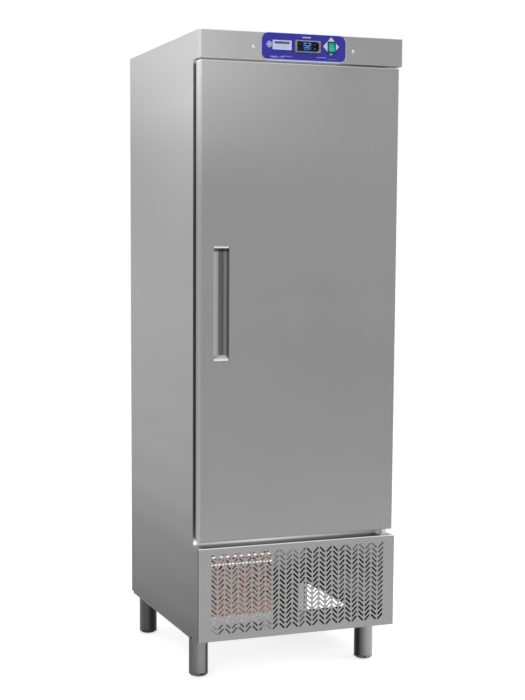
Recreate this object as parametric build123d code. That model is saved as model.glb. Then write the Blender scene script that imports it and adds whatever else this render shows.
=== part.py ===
from build123d import *
import os

# Commercial upright freezer, in millimetres.
# X runs to the right, Y runs to the back, Z runs up from the floor.

# Overall sizes
WIDTH = 600.0
DEPTH = 630.0
BODY_HEIGHT = 1666.0
LEG_CLEARANCE = 127.0
HEAD_HEIGHT = 75.0
MACHINE_HEIGHT = 262.5
BODY_RECESS = 55.0

# Sheet metal
SHEET = 1.0
BEND = 2.5
TRAY_RETURN = 14.0
SEAM = 0.4
FOAM_GAP = 0.3
RUN_THROUGH = 2.0

# Door
DOOR_INSET = 5.0
DOOR_RECESS = 8.0
DOOR_TOP_GAP = 4.0
DOOR_SILL_GAP = 18.5
DOOR_SKIN_DEPTH = 36.0
DOOR_RING_THICKNESS = 2.0
DOOR_PANEL_SHEET = 1.5
DOOR_PANEL_DEPTH = 27.0
DOOR_PANEL_RADIUS = 12.0
DOOR_PANEL_FLANGE = 14.0
DOOR_PANEL_CLEARANCE = 13.0

# Gasket, as a base, a bellows and a magnet head, from the door to the body
GASKET_OUTSET = 35.0
GASKET_WIDTH = 22.0
GASKET_BASE_DEPTH = 3.0
GASKET_BELLOWS_WIDTH = 12.0
GASKET_HEAD_WIDTH = 18.0
GASKET_HEAD_DEPTH = 2.7
GASKET_GAP = 0.3

# Door pivot
PIVOT_FROM_DOOR_EDGE = 20.0
PIVOT_FROM_DOOR_FRONT = 18.0
PIN_RADIUS = 4.0
PIN_FIT = 0.05
PIN_LENGTH = 24.0
BUSH_RADIUS = 8.0
BUSH_LENGTH = 30.0
BUSH_FLANGE_RADIUS = 11.0
BUSH_FLANGE = 1.2
HINGE_WIDTH = 26.0
HINGE_FRONT_MARGIN = 11.0
HINGE_THICKNESS = 2.2
HINGE_FOOT_THICKNESS = 4.0
BOSS_RADIUS = 8.0
BOSS_GAP = 0.4
HINGE_SCREW_RADIUS = 2.5
HINGE_SCREW_HEAD_RADIUS = 4.5
HINGE_SCREW_HEAD = 2.0
HINGE_SCREW_LENGTH = 9.0
HINGE_SCREW_OFFSET = 7.0
HINGE_SCREW_FROM_BACK = 7.0
FIT_GAP = 0.1

# Handle recess in the door
HANDLE_FROM_DOOR_EDGE = 38.0
HANDLE_WIDTH = 45.0
HANDLE_ABOVE_DOOR_BOTTOM = 500.0
HANDLE_HEIGHT = 313.0
HANDLE_DEPTH = 27.0
HANDLE_SUNK = 0.6
HANDLE_LIP_WIDTH = 12.0
HANDLE_LIP_SHEET = 1.5
HANDLE_LIP_SLOPE = 3.0
HANDLE_CAP_FRONT = 5.0
HANDLE_CAP_BACK = 14.0

# Insulated body
WALL = 60.0
REAR_WALL = 65.0
LINER_RADIUS = 15.0
LINER_ABOVE_DECK = 60.5
LINER_BELOW_HEAD = 45.0
FOAM_ABOVE_LINER = 60.0

# Head fascia
SCREW_HEAD_RADIUS = 5.5
SCREW_HEAD_HEIGHT = 3.2
SCREW_SHANK_RADIUS = 2.0
SCREW_SHANK_LENGTH = 8.0
SCREW_X = 148.0
SCREW_BELOW_TOP = 41.0
BRACKET_WIDTH = 30.0
BRACKET_SHEET = 1.5
BRACKET_DEPTH = 60.0

# Control overlay
OVERLAY_WIDTH = 252.0
OVERLAY_MARGIN = 2.5
OVERLAY_RADIUS = 17.0
OVERLAY_THICKNESS = 0.6

# Controller
CONTROLLER_X = 10.0
CONTROLLER_BELOW_TOP = 34.0
BEZEL_WIDTH = 76.0
BEZEL_HEIGHT = 32.5
BEZEL_PROUD = 6.0
BEZEL_RADIUS = 3.0
CASE_WIDTH = 71.0
CASE_HEIGHT = 28.0
CASE_DEPTH = 54.0
WINDOW_WIDTH = 65.0
WINDOW_HEIGHT = 26.0
WINDOW_THICKNESS = 2.0
WINDOW_SUNK = 1.5
WINDOW_CORNER = 6.0
POCKET_WIDTH = 60.0
POCKET_HEIGHT = 21.5
POCKET_DEPTH = 5.0
PANEL_CLEARANCE = 0.3

# Keys on the display
KEY_RADIUS = 3.0
KEY_FLANGE_RADIUS = 4.0
KEY_FLANGE = 1.0
KEY_FLANGE_GAP = 0.3
KEY_PROUD = 0.8
KEY_TRAVEL = 0.8
KEY_STEM_RADIUS = 2.0
KEY_LEFT_X = -25.0
KEY_RIGHT_X = 19.5
KEY_Z = 6.0

# Rocker switch
ROCKER_X = 82.0
ROCKER_BELOW_TOP = 33.0
ROCKER_WIDTH = 24.0
ROCKER_HEIGHT = 32.0
ROCKER_FRAME_PROUD = 2.5
ROCKER_HOUSING_WIDTH = 22.0
ROCKER_HOUSING_HEIGHT = 29.6
ROCKER_HOUSING_DEPTH = 30.0
ROCKER_CAVITY_DEPTH = 14.0
ROCKER_CAVITY_HEIGHT = 26.8
ROCKER_HALF_WIDTH = 9.0
ROCKER_HALF_HEIGHT = 12.0
ROCKER_END = 6.5
ROCKER_MIDDLE = 4.2
ROCKER_BACK = 2.0
ROCKER_SIDE_GAP = 0.3
ROCKER_PIVOT_DEPTH = 3.5
ROCKER_TILT = 12.0
TRUNNION_RADIUS = 1.5
TRUNNION_LENGTH = 1.2

# Grille panel
SLOT_COLUMN_PITCH = 20.5
SLOT_ROW_PITCH = 14.0
SLOT_LENGTH = 22.0
SLOT_WIDTH = 5.2
SLOT_ANGLE = 45.0
SLOT_BOTTOM_MARGIN = 28.0
SLOT_TOP_MARGIN = 22.0
SLOT_SIDE_MARGIN = 30.0

# Rear cover of the machine compartment
LOUVRE_ROWS = 9
LOUVRE_PITCH = 20.0
LOUVRE_LENGTH = 180.0
LOUVRE_WIDTH = 6.0
LOUVRE_FROM_SIDE = 170.0

# Rear spacers and cable gland
SPACER_RADIUS = 15.0
SPACER_THICKNESS = 6.0
SPACER_FROM_SIDE = 70.0
SPACER_FROM_END = 90.0
GLAND_FROM_SIDE = 60.0
GLAND_BELOW_DECK = 44.5
GLAND_FLANGE_RADIUS = 12.0
GLAND_FLANGE = 5.0
GLAND_BODY_RADIUS = 8.0
GLAND_BORE_RADIUS = 4.5
GLAND_INSIDE = 8.0

# Floor of the machine compartment
FLOOR_THICKNESS = 2.0
OPENING_WIDTH = 148.0
OPENING_FROM_SIDE = 35.0
OPENING_FROM_FRONT = 224.0
OPENING_FROM_BACK = 70.0
DIVIDER_SHEET = 1.2
DIVIDER_HEIGHT = 83.0
DIVIDER_FLANGE = 17.0

# Base rails, legs and feet
RAIL_HEIGHT = 7.0
RAIL_WIDTH = 18.0
RAIL_SHEET = 1.5
RAIL_INSET = 2.0
LEG_PLATE = 74.0
LEG_FROM_SIDE = 38.5
LEG_FROM_FRONT = 113.0
LEG_FROM_BACK = 49.0
LEG_RADIUS = 27.5
LEG_WALL = 1.5
FOOT_SIDES = 8
FOOT_HEIGHT = 12.0
FOOT_CONE_HEIGHT = 5.5
FOOT_CONE_INSET = 12.0
FOOT_INSERT = 50.0
FOOT_GAP = 0.3
FOOT_FIT = 0.05

# Condensing unit
UNIT_WIDTH = 196.0
UNIT_FROM_SIDE = 44.0
UNIT_FROM_FRONT = 43.0
UNIT_FROM_BACK = 27.0
UNIT_TOP = 58.0
UNIT_SHEET = 2.0
UNIT_LIP = 25.0
UNIT_FOOT = 24.0
CONDENSER_MARGIN = 4.0
CONDENSER_BELOW_DECK = 24.5
CONDENSER_DEPTH = 60.0
CONDENSER_PASSES = 8
CONDENSER_TUBE_RADIUS = 4.75
CONDENSER_FROM_FRONT = 42.0
TUBE_FIT = 0.05
TUBE_BEND_SLACK = 0.25
FIN_PITCH = 4.5
FIN_THICKNESS = 1.5
FIN_GROOVE = 22.0
STUB_LENGTH = 5.0
SHROUD_DEPTH = 40.0
SHROUD_SHEET = 1.2

# Fans
CONDENSER_FAN_INSET = 12.0
EVAPORATOR_FAN_INSET = 20.0
FAN_CLEARANCE = 5.0
FAN_BLADES = 5
FAN_PITCH = 28.0
FAN_BLADE_SHEET = 1.5
FAN_BLADE_DEPTH = 20.0
FAN_HUB_RADIUS = 18.0
FAN_HUB_LENGTH = 18.0
FAN_SHAFT_RADIUS = 3.0
FAN_FRONT = 15.0
MOTOR_RADIUS = 34.0
MOTOR_LENGTH = 50.0
MOTOR_GAP = 16.0
ARM_WIDTH = 10.0
ARM_THICKNESS = 3.0
ARM_REACH = 14.0
CONDENSER_FAN_ARMS = 4
CONDENSER_FIRST_ARM = 45.0
EVAPORATOR_FAN_ARMS = 2
EVAPORATOR_FIRST_ARM = 0.0

# Compressor
COMPRESSOR_RADIUS = 80.0
COMPRESSOR_HEIGHT = 160.0
COMPRESSOR_DOME = 30.0
COMPRESSOR_FROM_BACK = 255.0
COMPRESSOR_BAND = 5.0
COMPRESSOR_BAND_HEIGHT = 8.0
CRADLE_SIZE = 168.0
CRADLE_SHEET = 3.0
GROMMET_RADIUS = 12.0
GROMMET_HEIGHT = 10.0

# Refrigerant lines
SUCTION_RADIUS = 6.0
DISCHARGE_RADIUS = 4.0
LIQUID_RADIUS = 3.0
DISCHARGE_FROM_UNIT = 18.0
SUCTION_FROM_UNIT = 20.0
LIQUID_FROM_UNIT = 40.0
LINE_CHANNEL_HALF = 28.0
LINE_CHANNEL_DEPTH = 30.0
LINE_FROM_BACK = 33.0
SUCTION_PORT_HEIGHT = 100.0
DISCHARGE_PORT_HEIGHT = 120.0
SUCTION_TOP = 100.0
LIQUID_TOP = 72.0
LINE_BEND = 22.0
SMALL_BEND = 10.0
PORT_CLEARANCE = 1.5

# Evaporator below the ceiling of the liner
EVAPORATOR_SIDE_GAP = 22.0
EVAPORATOR_HEIGHT = 172.0
EVAPORATOR_FRONT = 160.0
EVAPORATOR_SHEET = 1.2
EVAPORATOR_BACK_GAP = 17.0
EVAPORATOR_RETURN = 50.0
COIL_SIDE_GAP = 28.0
COIL_DEPTH = 140.0
COIL_HEIGHT = 135.0
COIL_BACK_GAP = 49.0
COIL_FIN_PITCH = 10.0

# Shelves
SHELF_COUNT = 3
SHELF_FIRST = 210.0
SHELF_PITCH = 215.0
SHELF_SIDE_GAP = 28.0
SHELF_FRONT_GAP = 27.0
SHELF_BACK_GAP = 30.0
SHELF_ROD_RADIUS = 3.5
SHELF_WIRE_RADIUS = 1.5
SHELF_WIRE_PITCH = 26.0
SHELF_CORNER = 14.0
SHELF_WELD = 0.6
RUNNER_SHEET = 1.5
RUNNER_HEIGHT = 24.0
RUNNER_WIDTH = 32.0

# Planes that follow from the sizes
LEFT = -WIDTH / 2
RIGHT = WIDTH / 2
FRONT = -DEPTH / 2
BACK = DEPTH / 2
BOTTOM = LEG_CLEARANCE
TOP = BOTTOM + BODY_HEIGHT
HEAD_BOTTOM = TOP - HEAD_HEIGHT
DECK = BOTTOM + MACHINE_HEIGHT
BODY_FRONT = FRONT + BODY_RECESS
INNER = WIDTH / 2 - SHEET
TRAY_BACK = FRONT + TRAY_RETURN
PANEL_FRONT = TRAY_BACK + SEAM
INNER_BACK = BACK - SHEET

DOOR_HALF = WIDTH / 2 - DOOR_INSET
DOOR_FRONT = FRONT + DOOR_RECESS
DOOR_BACK = DOOR_FRONT + DOOR_SKIN_DEPTH
DOOR_TOP = HEAD_BOTTOM - DOOR_TOP_GAP
DOOR_BOTTOM = DECK + DOOR_SILL_GAP
DOOR_PANEL_BACK = DOOR_BACK + DOOR_PANEL_DEPTH

HANDLE_X0 = -DOOR_HALF + HANDLE_FROM_DOOR_EDGE
HANDLE_X1 = HANDLE_X0 + HANDLE_WIDTH
HANDLE_BOTTOM = DOOR_BOTTOM + HANDLE_ABOVE_DOOR_BOTTOM
HANDLE_TOP = HANDLE_BOTTOM + HANDLE_HEIGHT
HANDLE_FRONT = DOOR_FRONT + HANDLE_SUNK
HANDLE_BACK = DOOR_FRONT + HANDLE_DEPTH + SHEET

PIVOT_X = DOOR_HALF - PIVOT_FROM_DOOR_EDGE
PIVOT_Y = DOOR_FRONT + PIVOT_FROM_DOOR_FRONT

LINER_HALF = WIDTH / 2 - WALL
LINER_BOTTOM = DECK + LINER_ABOVE_DECK
LINER_TOP = HEAD_BOTTOM - LINER_BELOW_HEAD
LINER_FRONT = BODY_FRONT + SHEET
LINER_BACK = BACK - REAR_WALL
FOAM_TOP = LINER_TOP + FOAM_ABOVE_LINER

SLOT_COLUMNS = int((WIDTH - 2 * SLOT_SIDE_MARGIN) // SLOT_COLUMN_PITCH)
SLOT_ROWS = 1 + int((MACHINE_HEIGHT - SLOT_BOTTOM_MARGIN - SLOT_TOP_MARGIN) // SLOT_ROW_PITCH)
LOUVRE_X = WIDTH / 2 - LOUVRE_FROM_SIDE
SPACER_X = WIDTH / 2 - SPACER_FROM_SIDE
LEG_X = WIDTH / 2 - LEG_FROM_SIDE
GLAND_X = WIDTH / 2 - GLAND_FROM_SIDE
GLAND_Z = DECK - GLAND_BELOW_DECK

FLOOR_TOP = BOTTOM + FLOOR_THICKNESS
OPENING_RIGHT = RIGHT - OPENING_FROM_SIDE
OPENING_LEFT = OPENING_RIGHT - OPENING_WIDTH
OPENING_FRONT = FRONT + OPENING_FROM_FRONT
OPENING_BACK = BACK - OPENING_FROM_BACK

UNIT_LEFT = LEFT + UNIT_FROM_SIDE
UNIT_RIGHT = UNIT_LEFT + UNIT_WIDTH
UNIT_MIDDLE = (UNIT_LEFT + UNIT_RIGHT) / 2
UNIT_PLATE_TOP = BOTTOM + UNIT_TOP
COMPRESSOR_Y = BACK - COMPRESSOR_FROM_BACK
DISCHARGE_X = UNIT_RIGHT + DISCHARGE_FROM_UNIT
SUCTION_X = UNIT_RIGHT + SUCTION_FROM_UNIT
LIQUID_X = UNIT_RIGHT + LIQUID_FROM_UNIT

CONDENSER_HEIGHT = MACHINE_HEIGHT - UNIT_TOP - CONDENSER_BELOW_DECK
CONDENSER_FAN_RADIUS = CONDENSER_HEIGHT / 2 - CONDENSER_FAN_INSET
CONDENSER_Y0 = FRONT + CONDENSER_FROM_FRONT
CONDENSER_Y1 = CONDENSER_Y0 + CONDENSER_DEPTH
CONDENSER_MIDDLE_Z = UNIT_PLATE_TOP + CONDENSER_HEIGHT / 2
TUBE_PITCH = CONDENSER_HEIGHT / CONDENSER_PASSES
SHROUD_BACK = CONDENSER_Y1 + SHROUD_DEPTH

EVAPORATOR_HALF = LINER_HALF - EVAPORATOR_SIDE_GAP
EVAPORATOR_FAN_RADIUS = EVAPORATOR_HEIGHT / 2 - EVAPORATOR_FAN_INSET
EVAPORATOR_BOTTOM = LINER_TOP - EVAPORATOR_HEIGHT
EVAPORATOR_Y0 = BODY_FRONT + EVAPORATOR_FRONT
EVAPORATOR_MIDDLE_Z = EVAPORATOR_BOTTOM + EVAPORATOR_HEIGHT / 2
COIL_HALF = EVAPORATOR_HALF - COIL_SIDE_GAP
COIL_BACK = LINER_BACK - COIL_BACK_GAP
COIL_BOTTOM = EVAPORATOR_BOTTOM + EVAPORATOR_SHEET + FOAM_GAP
SHELF_HALF = LINER_HALF - SHELF_SIDE_GAP

CONTROLLER_Z = TOP - CONTROLLER_BELOW_TOP
OVERLAY_FRONT = FRONT - OVERLAY_THICKNESS
BEZEL_FRONT = FRONT - BEZEL_PROUD
WINDOW_FRONT = BEZEL_FRONT + WINDOW_SUNK
WINDOW_BACK = WINDOW_FRONT + WINDOW_THICKNESS
ROCKER_Z = TOP - ROCKER_BELOW_TOP
ROCKER_PIVOT_Y = FRONT + ROCKER_PIVOT_DEPTH
SCREW_Z = TOP - SCREW_BELOW_TOP


def block(x0, x1, y0, y1, z0, z1):
    """A box between six planes."""
    middle = Pos((x0 + x1) / 2, (y0 + y1) / 2, (z0 + z1) / 2)
    return middle * Box(x1 - x0, y1 - y0, z1 - z0)


def post(x, y, z0, z1, radius):
    """A round bar along Z."""
    return Pos(x, y, (z0 + z1) / 2) * Cylinder(radius, z1 - z0)


def bar_along_y(x, z, y0, y1, radius):
    return Pos(x, (y0 + y1) / 2, z) * Rot(90, 0, 0) * Cylinder(radius, y1 - y0)


def bar_along_x(y, z, x0, x1, radius):
    return Pos((x0 + x1) / 2, y, z) * Rot(0, 90, 0) * Cylinder(radius, x1 - x0)


def front_edges(shape):
    return shape.faces().sort_by(Axis.Y)[0].edges()


def tray(x0, x1, y0, y1, z0, z1):
    """A folded sheet: front face at y0, rounded bends and returns back to y1."""
    outer = block(x0, x1, y0, y1, z0, z1)
    outer = fillet(front_edges(outer), BEND)
    inner = block(x0 + SHEET, x1 - SHEET, y0 + SHEET, y1 + RUN_THROUGH, z0 + SHEET, z1 - SHEET)
    inner = fillet(front_edges(inner), BEND - SHEET)
    return outer - inner


def rounded_tub(half, y0, y1, z0, z1, radius):
    """A solid block rounded everywhere but round its front face."""
    body = block(-half, half, y0, y1, z0, z1)
    return fillet(body.edges() - front_edges(body), radius)


def upright_ring(half, z0, z1, width, y0, y1):
    """A square frame standing in the XZ plane."""
    outer = block(-half, half, y0, y1, z0, z1)
    inner_y0 = y0 - RUN_THROUGH
    inner_y1 = y1 + RUN_THROUGH
    inner = block(width - half, half - width, inner_y0, inner_y1, z0 + width, z1 - width)
    return outer - inner


def side_outline(points, x0, x1):
    """A shape drawn as Y, Z points and given a thickness along X."""
    face = Plane.YZ.offset(x0) * Polygon(*points, align=None)
    return extrude(face, amount=x1 - x0, dir=(1, 0, 0))


def tube(points, radius, bends):
    """A round line through the points, with an arc at each corner."""
    path = FilletPolyline(*points, radius=bends)
    return sweep(Plane(path @ 0, z_dir=path % 0) * Circle(radius), path=path)


def save(name, *shapes):
    """Writes one sub-part, with each of its solids kept separate."""
    solids = [solid for shape in shapes for solid in shape.solids()]
    export_step(Compound(children=solids), f"parts/{name}.step")


def side_panel(x0, x1):
    """Side sheet with the notch that the door stands in."""
    outline = [
        (PANEL_FRONT, BOTTOM),
        (BACK, BOTTOM),
        (BACK, TOP),
        (PANEL_FRONT, TOP),
        (PANEL_FRONT, HEAD_BOTTOM),
        (BODY_FRONT, HEAD_BOTTOM),
        (BODY_FRONT, DECK),
        (PANEL_FRONT, DECK),
    ]
    return side_outline(outline, x0, x1)


def controller_opening(gap):
    """Cut for the controller's case through the fascia and its overlay."""
    half_width = CASE_WIDTH / 2 + gap
    half_height = CASE_HEIGHT / 2 + gap
    x0 = CONTROLLER_X - half_width
    x1 = CONTROLLER_X + half_width
    y0 = OVERLAY_FRONT - RUN_THROUGH
    y1 = FRONT + SHEET + RUN_THROUGH
    return block(x0, x1, y0, y1, CONTROLLER_Z - half_height, CONTROLLER_Z + half_height)


def rocker_opening(gap):
    """Cut for the rocker's housing through the fascia and its overlay."""
    half_width = ROCKER_HOUSING_WIDTH / 2 + gap
    half_height = ROCKER_HOUSING_HEIGHT / 2 + gap
    x0 = ROCKER_X - half_width
    x1 = ROCKER_X + half_width
    y0 = OVERLAY_FRONT - RUN_THROUGH
    y1 = FRONT + SHEET + RUN_THROUGH
    return block(x0, x1, y0, y1, ROCKER_Z - half_height, ROCKER_Z + half_height)


def head_fascia():
    """Front tray of the head, whose bottom return runs back to the body."""
    fascia = tray(LEFT, RIGHT, FRONT, TRAY_BACK, HEAD_BOTTOM, TOP)
    underside_front = TRAY_BACK - SHEET
    underside_back = BODY_FRONT - FOAM_GAP
    underside_top = HEAD_BOTTOM + SHEET
    fascia += block(-INNER, INNER, underside_front, underside_back, HEAD_BOTTOM, underside_top)
    fascia -= controller_opening(PANEL_CLEARANCE)
    fascia -= rocker_opening(PANEL_CLEARANCE)
    for x in (-SCREW_X, SCREW_X):
        y1 = FRONT + SHEET + RUN_THROUGH
        fascia -= bar_along_y(x, SCREW_Z, FRONT - RUN_THROUGH, y1, SCREW_SHANK_RADIUS + FIT_GAP)
    for x, y in hinge_screw_places():
        z1 = underside_top + RUN_THROUGH
        fascia -= post(x, y, HEAD_BOTTOM - RUN_THROUGH, z1, HINGE_SCREW_RADIUS + FIT_GAP)
    return fascia


def fascia_bracket(x):
    """Angle that stands on the foam and holds the fascia by one screw."""
    x0 = x - BRACKET_WIDTH / 2
    x1 = x + BRACKET_WIDTH / 2
    front = FRONT + SHEET
    foot = block(x0, x1, front, BODY_FRONT + BRACKET_DEPTH, FOAM_TOP, FOAM_TOP + BRACKET_SHEET)
    upright = block(x0, x1, front, front + BRACKET_SHEET, FOAM_TOP, SCREW_Z + BRACKET_WIDTH / 2)
    hole = bar_along_y(x, SCREW_Z, FRONT, front + BRACKET_SHEET + RUN_THROUGH, SCREW_SHANK_RADIUS + FIT_GAP)
    return foot + upright - hole


def fascia_screw(x):
    """Dome-headed screw with a cross recess."""
    ball_radius = (SCREW_HEAD_RADIUS**2 + SCREW_HEAD_HEIGHT**2) / (2 * SCREW_HEAD_HEIGHT)
    dome = Pos(x, FRONT - SCREW_HEAD_HEIGHT + ball_radius, SCREW_Z) * Sphere(ball_radius)
    dome &= bar_along_y(x, SCREW_Z, FRONT - SCREW_HEAD_HEIGHT, FRONT, SCREW_HEAD_RADIUS)
    shank = bar_along_y(x, SCREW_Z, FRONT, FRONT + SCREW_SHANK_LENGTH, SCREW_SHANK_RADIUS)
    cross_half = SCREW_HEAD_RADIUS / 2
    cross_back = FRONT - SCREW_HEAD_HEIGHT / 2
    cross_front = FRONT - SCREW_HEAD_HEIGHT - RUN_THROUGH
    slit = SCREW_HEAD_HEIGHT / 8
    cross = block(x - cross_half, x + cross_half, cross_front, cross_back, SCREW_Z - slit, SCREW_Z + slit)
    cross += block(x - slit, x + slit, cross_front, cross_back, SCREW_Z - cross_half, SCREW_Z + cross_half)
    return dome + shank - cross


def control_overlay():
    """Thin printed sheet on the fascia, rounded at its corners."""
    z0 = HEAD_BOTTOM + OVERLAY_MARGIN
    z1 = TOP - OVERLAY_MARGIN
    sheet = block(-OVERLAY_WIDTH / 2, OVERLAY_WIDTH / 2, OVERLAY_FRONT, FRONT, z0, z1)
    sheet = fillet(sheet.edges().filter_by(Axis.Y), OVERLAY_RADIUS)
    return sheet - controller_opening(PANEL_CLEARANCE) - rocker_opening(PANEL_CLEARANCE)


def window_plate(gap, y0, y1):
    """The display window, with its right-hand corners cut off."""
    half_width = WINDOW_WIDTH / 2 - gap
    half_height = WINDOW_HEIGHT / 2 - gap
    x0 = CONTROLLER_X - half_width
    x1 = CONTROLLER_X + half_width
    plate = block(x0, x1, y0, y1, CONTROLLER_Z - half_height, CONTROLLER_Z + half_height)
    right = plate.edges().filter_by(Axis.Y).group_by(Axis.X)[-1]
    return chamfer(right, WINDOW_CORNER)


def controller_case():
    """Panel controller: bezel in front of the overlay and its case behind."""
    x0 = CONTROLLER_X - BEZEL_WIDTH / 2
    x1 = CONTROLLER_X + BEZEL_WIDTH / 2
    z0 = CONTROLLER_Z - BEZEL_HEIGHT / 2
    z1 = CONTROLLER_Z + BEZEL_HEIGHT / 2
    bezel = block(x0, x1, BEZEL_FRONT, OVERLAY_FRONT, z0, z1)
    bezel = fillet(bezel.edges().filter_by(Axis.Y), BEZEL_RADIUS)
    bezel = chamfer(front_edges(bezel), WINDOW_SUNK)
    case_x0 = CONTROLLER_X - CASE_WIDTH / 2
    case_x1 = CONTROLLER_X + CASE_WIDTH / 2
    case_z0 = CONTROLLER_Z - CASE_HEIGHT / 2
    case_z1 = CONTROLLER_Z + CASE_HEIGHT / 2
    case = block(case_x0, case_x1, OVERLAY_FRONT, OVERLAY_FRONT + CASE_DEPTH, case_z0, case_z1)
    pocket_x0 = CONTROLLER_X - POCKET_WIDTH / 2
    pocket_x1 = CONTROLLER_X + POCKET_WIDTH / 2
    pocket_z0 = CONTROLLER_Z - POCKET_HEIGHT / 2
    pocket_z1 = CONTROLLER_Z + POCKET_HEIGHT / 2
    pocket_back = WINDOW_BACK + POCKET_DEPTH
    pocket = block(pocket_x0, pocket_x1, WINDOW_BACK, pocket_back, pocket_z0, pocket_z1)
    return bezel + case - window_plate(0, BEZEL_FRONT - RUN_THROUGH, WINDOW_BACK) - pocket


def key_places():
    """Centres of the four keys, two on each side of the digits."""
    return [
        (CONTROLLER_X + KEY_LEFT_X, CONTROLLER_Z + KEY_Z),
        (CONTROLLER_X + KEY_LEFT_X, CONTROLLER_Z - KEY_Z),
        (CONTROLLER_X + KEY_RIGHT_X, CONTROLLER_Z + KEY_Z),
        (CONTROLLER_X + KEY_RIGHT_X, CONTROLLER_Z - KEY_Z),
    ]


def display_window():
    """Dark window with a round hole for each key."""
    window = window_plate(FIT_GAP, WINDOW_FRONT, WINDOW_BACK)
    for x, z in key_places():
        y0 = WINDOW_FRONT - RUN_THROUGH
        y1 = WINDOW_BACK + RUN_THROUGH
        window -= bar_along_y(x, z, y0, y1, KEY_RADIUS + FIT_GAP)
    return window


def key(x, z):
    """Round key with a flange that keeps it behind the window."""
    flange_front = WINDOW_BACK + KEY_FLANGE_GAP
    flange_back = flange_front + KEY_FLANGE
    stem_back = WINDOW_BACK + POCKET_DEPTH - KEY_TRAVEL - KEY_FLANGE_GAP
    cap = bar_along_y(x, z, WINDOW_FRONT - KEY_PROUD, flange_front, KEY_RADIUS)
    flange = bar_along_y(x, z, flange_front, flange_back, KEY_FLANGE_RADIUS)
    stem = bar_along_y(x, z, flange_back, stem_back, KEY_STEM_RADIUS)
    return cap + flange + stem


def rocker_frame():
    """Switch frame with its housing, open in front for the rocker."""
    x0 = ROCKER_X - ROCKER_WIDTH / 2
    x1 = ROCKER_X + ROCKER_WIDTH / 2
    z0 = ROCKER_Z - ROCKER_HEIGHT / 2
    z1 = ROCKER_Z + ROCKER_HEIGHT / 2
    rim = block(x0, x1, OVERLAY_FRONT - ROCKER_FRAME_PROUD, OVERLAY_FRONT, z0, z1)
    rim = chamfer(front_edges(rim), ROCKER_FRAME_PROUD / 3)
    housing_x0 = ROCKER_X - ROCKER_HOUSING_WIDTH / 2
    housing_x1 = ROCKER_X + ROCKER_HOUSING_WIDTH / 2
    housing_z0 = ROCKER_Z - ROCKER_HOUSING_HEIGHT / 2
    housing_z1 = ROCKER_Z + ROCKER_HOUSING_HEIGHT / 2
    housing_back = OVERLAY_FRONT + ROCKER_HOUSING_DEPTH
    housing = block(housing_x0, housing_x1, OVERLAY_FRONT, housing_back, housing_z0, housing_z1)
    half_width = ROCKER_HALF_WIDTH + ROCKER_SIDE_GAP
    half_height = ROCKER_CAVITY_HEIGHT / 2
    cavity_front = OVERLAY_FRONT - ROCKER_FRAME_PROUD - RUN_THROUGH
    cavity_back = OVERLAY_FRONT + ROCKER_CAVITY_DEPTH
    cavity = block(
        ROCKER_X - half_width,
        ROCKER_X + half_width,
        cavity_front,
        cavity_back,
        ROCKER_Z - half_height,
        ROCKER_Z + half_height,
    )
    hole_half = half_width + TRUNNION_LENGTH
    hole = bar_along_x(
        ROCKER_PIVOT_Y, ROCKER_Z, ROCKER_X - hole_half, ROCKER_X + hole_half, TRUNNION_RADIUS + PIN_FIT
    )
    return rim + housing - cavity - hole


def rocker_button():
    """Rocker with a shallow hollow across its face, its upper half pressed in."""
    outline = [
        (ROCKER_BACK, -ROCKER_HALF_HEIGHT),
        (ROCKER_BACK, ROCKER_HALF_HEIGHT),
        (-ROCKER_END, ROCKER_HALF_HEIGHT),
        (-ROCKER_MIDDLE, 0),
        (-ROCKER_END, -ROCKER_HALF_HEIGHT),
    ]
    button = side_outline(outline, -ROCKER_HALF_WIDTH, ROCKER_HALF_WIDTH)
    reach = ROCKER_HALF_WIDTH + TRUNNION_LENGTH
    button += bar_along_x(0, 0, -reach, reach, TRUNNION_RADIUS)
    return Pos(ROCKER_X, ROCKER_PIVOT_Y, ROCKER_Z) * Rot(-ROCKER_TILT, 0, 0) * button


def front_frame():
    """Flat steel ring that the gasket closes on."""
    frame = block(-INNER, INNER, BODY_FRONT, LINER_FRONT, DECK, FOAM_TOP)
    half = LINER_HALF - SHEET
    y0 = BODY_FRONT - RUN_THROUGH
    y1 = LINER_FRONT + RUN_THROUGH
    opening = block(-half, half, y0, y1, LINER_BOTTOM + SHEET, LINER_TOP - SHEET)
    opening = fillet(opening.edges().filter_by(Axis.Y), LINER_RADIUS - SHEET)
    return frame - opening


def line_ports(radius_gap):
    """Round cuts where the two refrigerant lines pass the liner's back wall."""
    y0 = LINER_BACK - SHEET - RUN_THROUGH
    y1 = LINER_BACK + RUN_THROUGH
    suction = bar_along_y(SUCTION_X, LINER_TOP - SUCTION_TOP, y0, y1, SUCTION_RADIUS + radius_gap)
    liquid = bar_along_y(LIQUID_X, LINER_TOP - LIQUID_TOP, y0, y1, LIQUID_RADIUS + radius_gap)
    return suction + liquid


def inner_liner():
    """Inside skin of the storage space, open in front."""
    outer = rounded_tub(LINER_HALF, LINER_FRONT, LINER_BACK, LINER_BOTTOM, LINER_TOP, LINER_RADIUS)
    inner = rounded_tub(
        LINER_HALF - SHEET,
        LINER_FRONT - RUN_THROUGH,
        LINER_BACK - SHEET,
        LINER_BOTTOM + SHEET,
        LINER_TOP - SHEET,
        LINER_RADIUS - SHEET,
    )
    return outer - inner - line_ports(PORT_CLEARANCE)


def line_channel(z0, z1):
    """Upright space for the refrigerant lines at the back."""
    middle = (SUCTION_X + LIQUID_X) / 2
    y1 = BACK - LINE_FROM_BACK + LINE_CHANNEL_DEPTH / 2
    y0 = y1 - LINE_CHANNEL_DEPTH
    return block(middle - LINE_CHANNEL_HALF, middle + LINE_CHANNEL_HALF, y0, y1, z0, z1)


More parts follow.
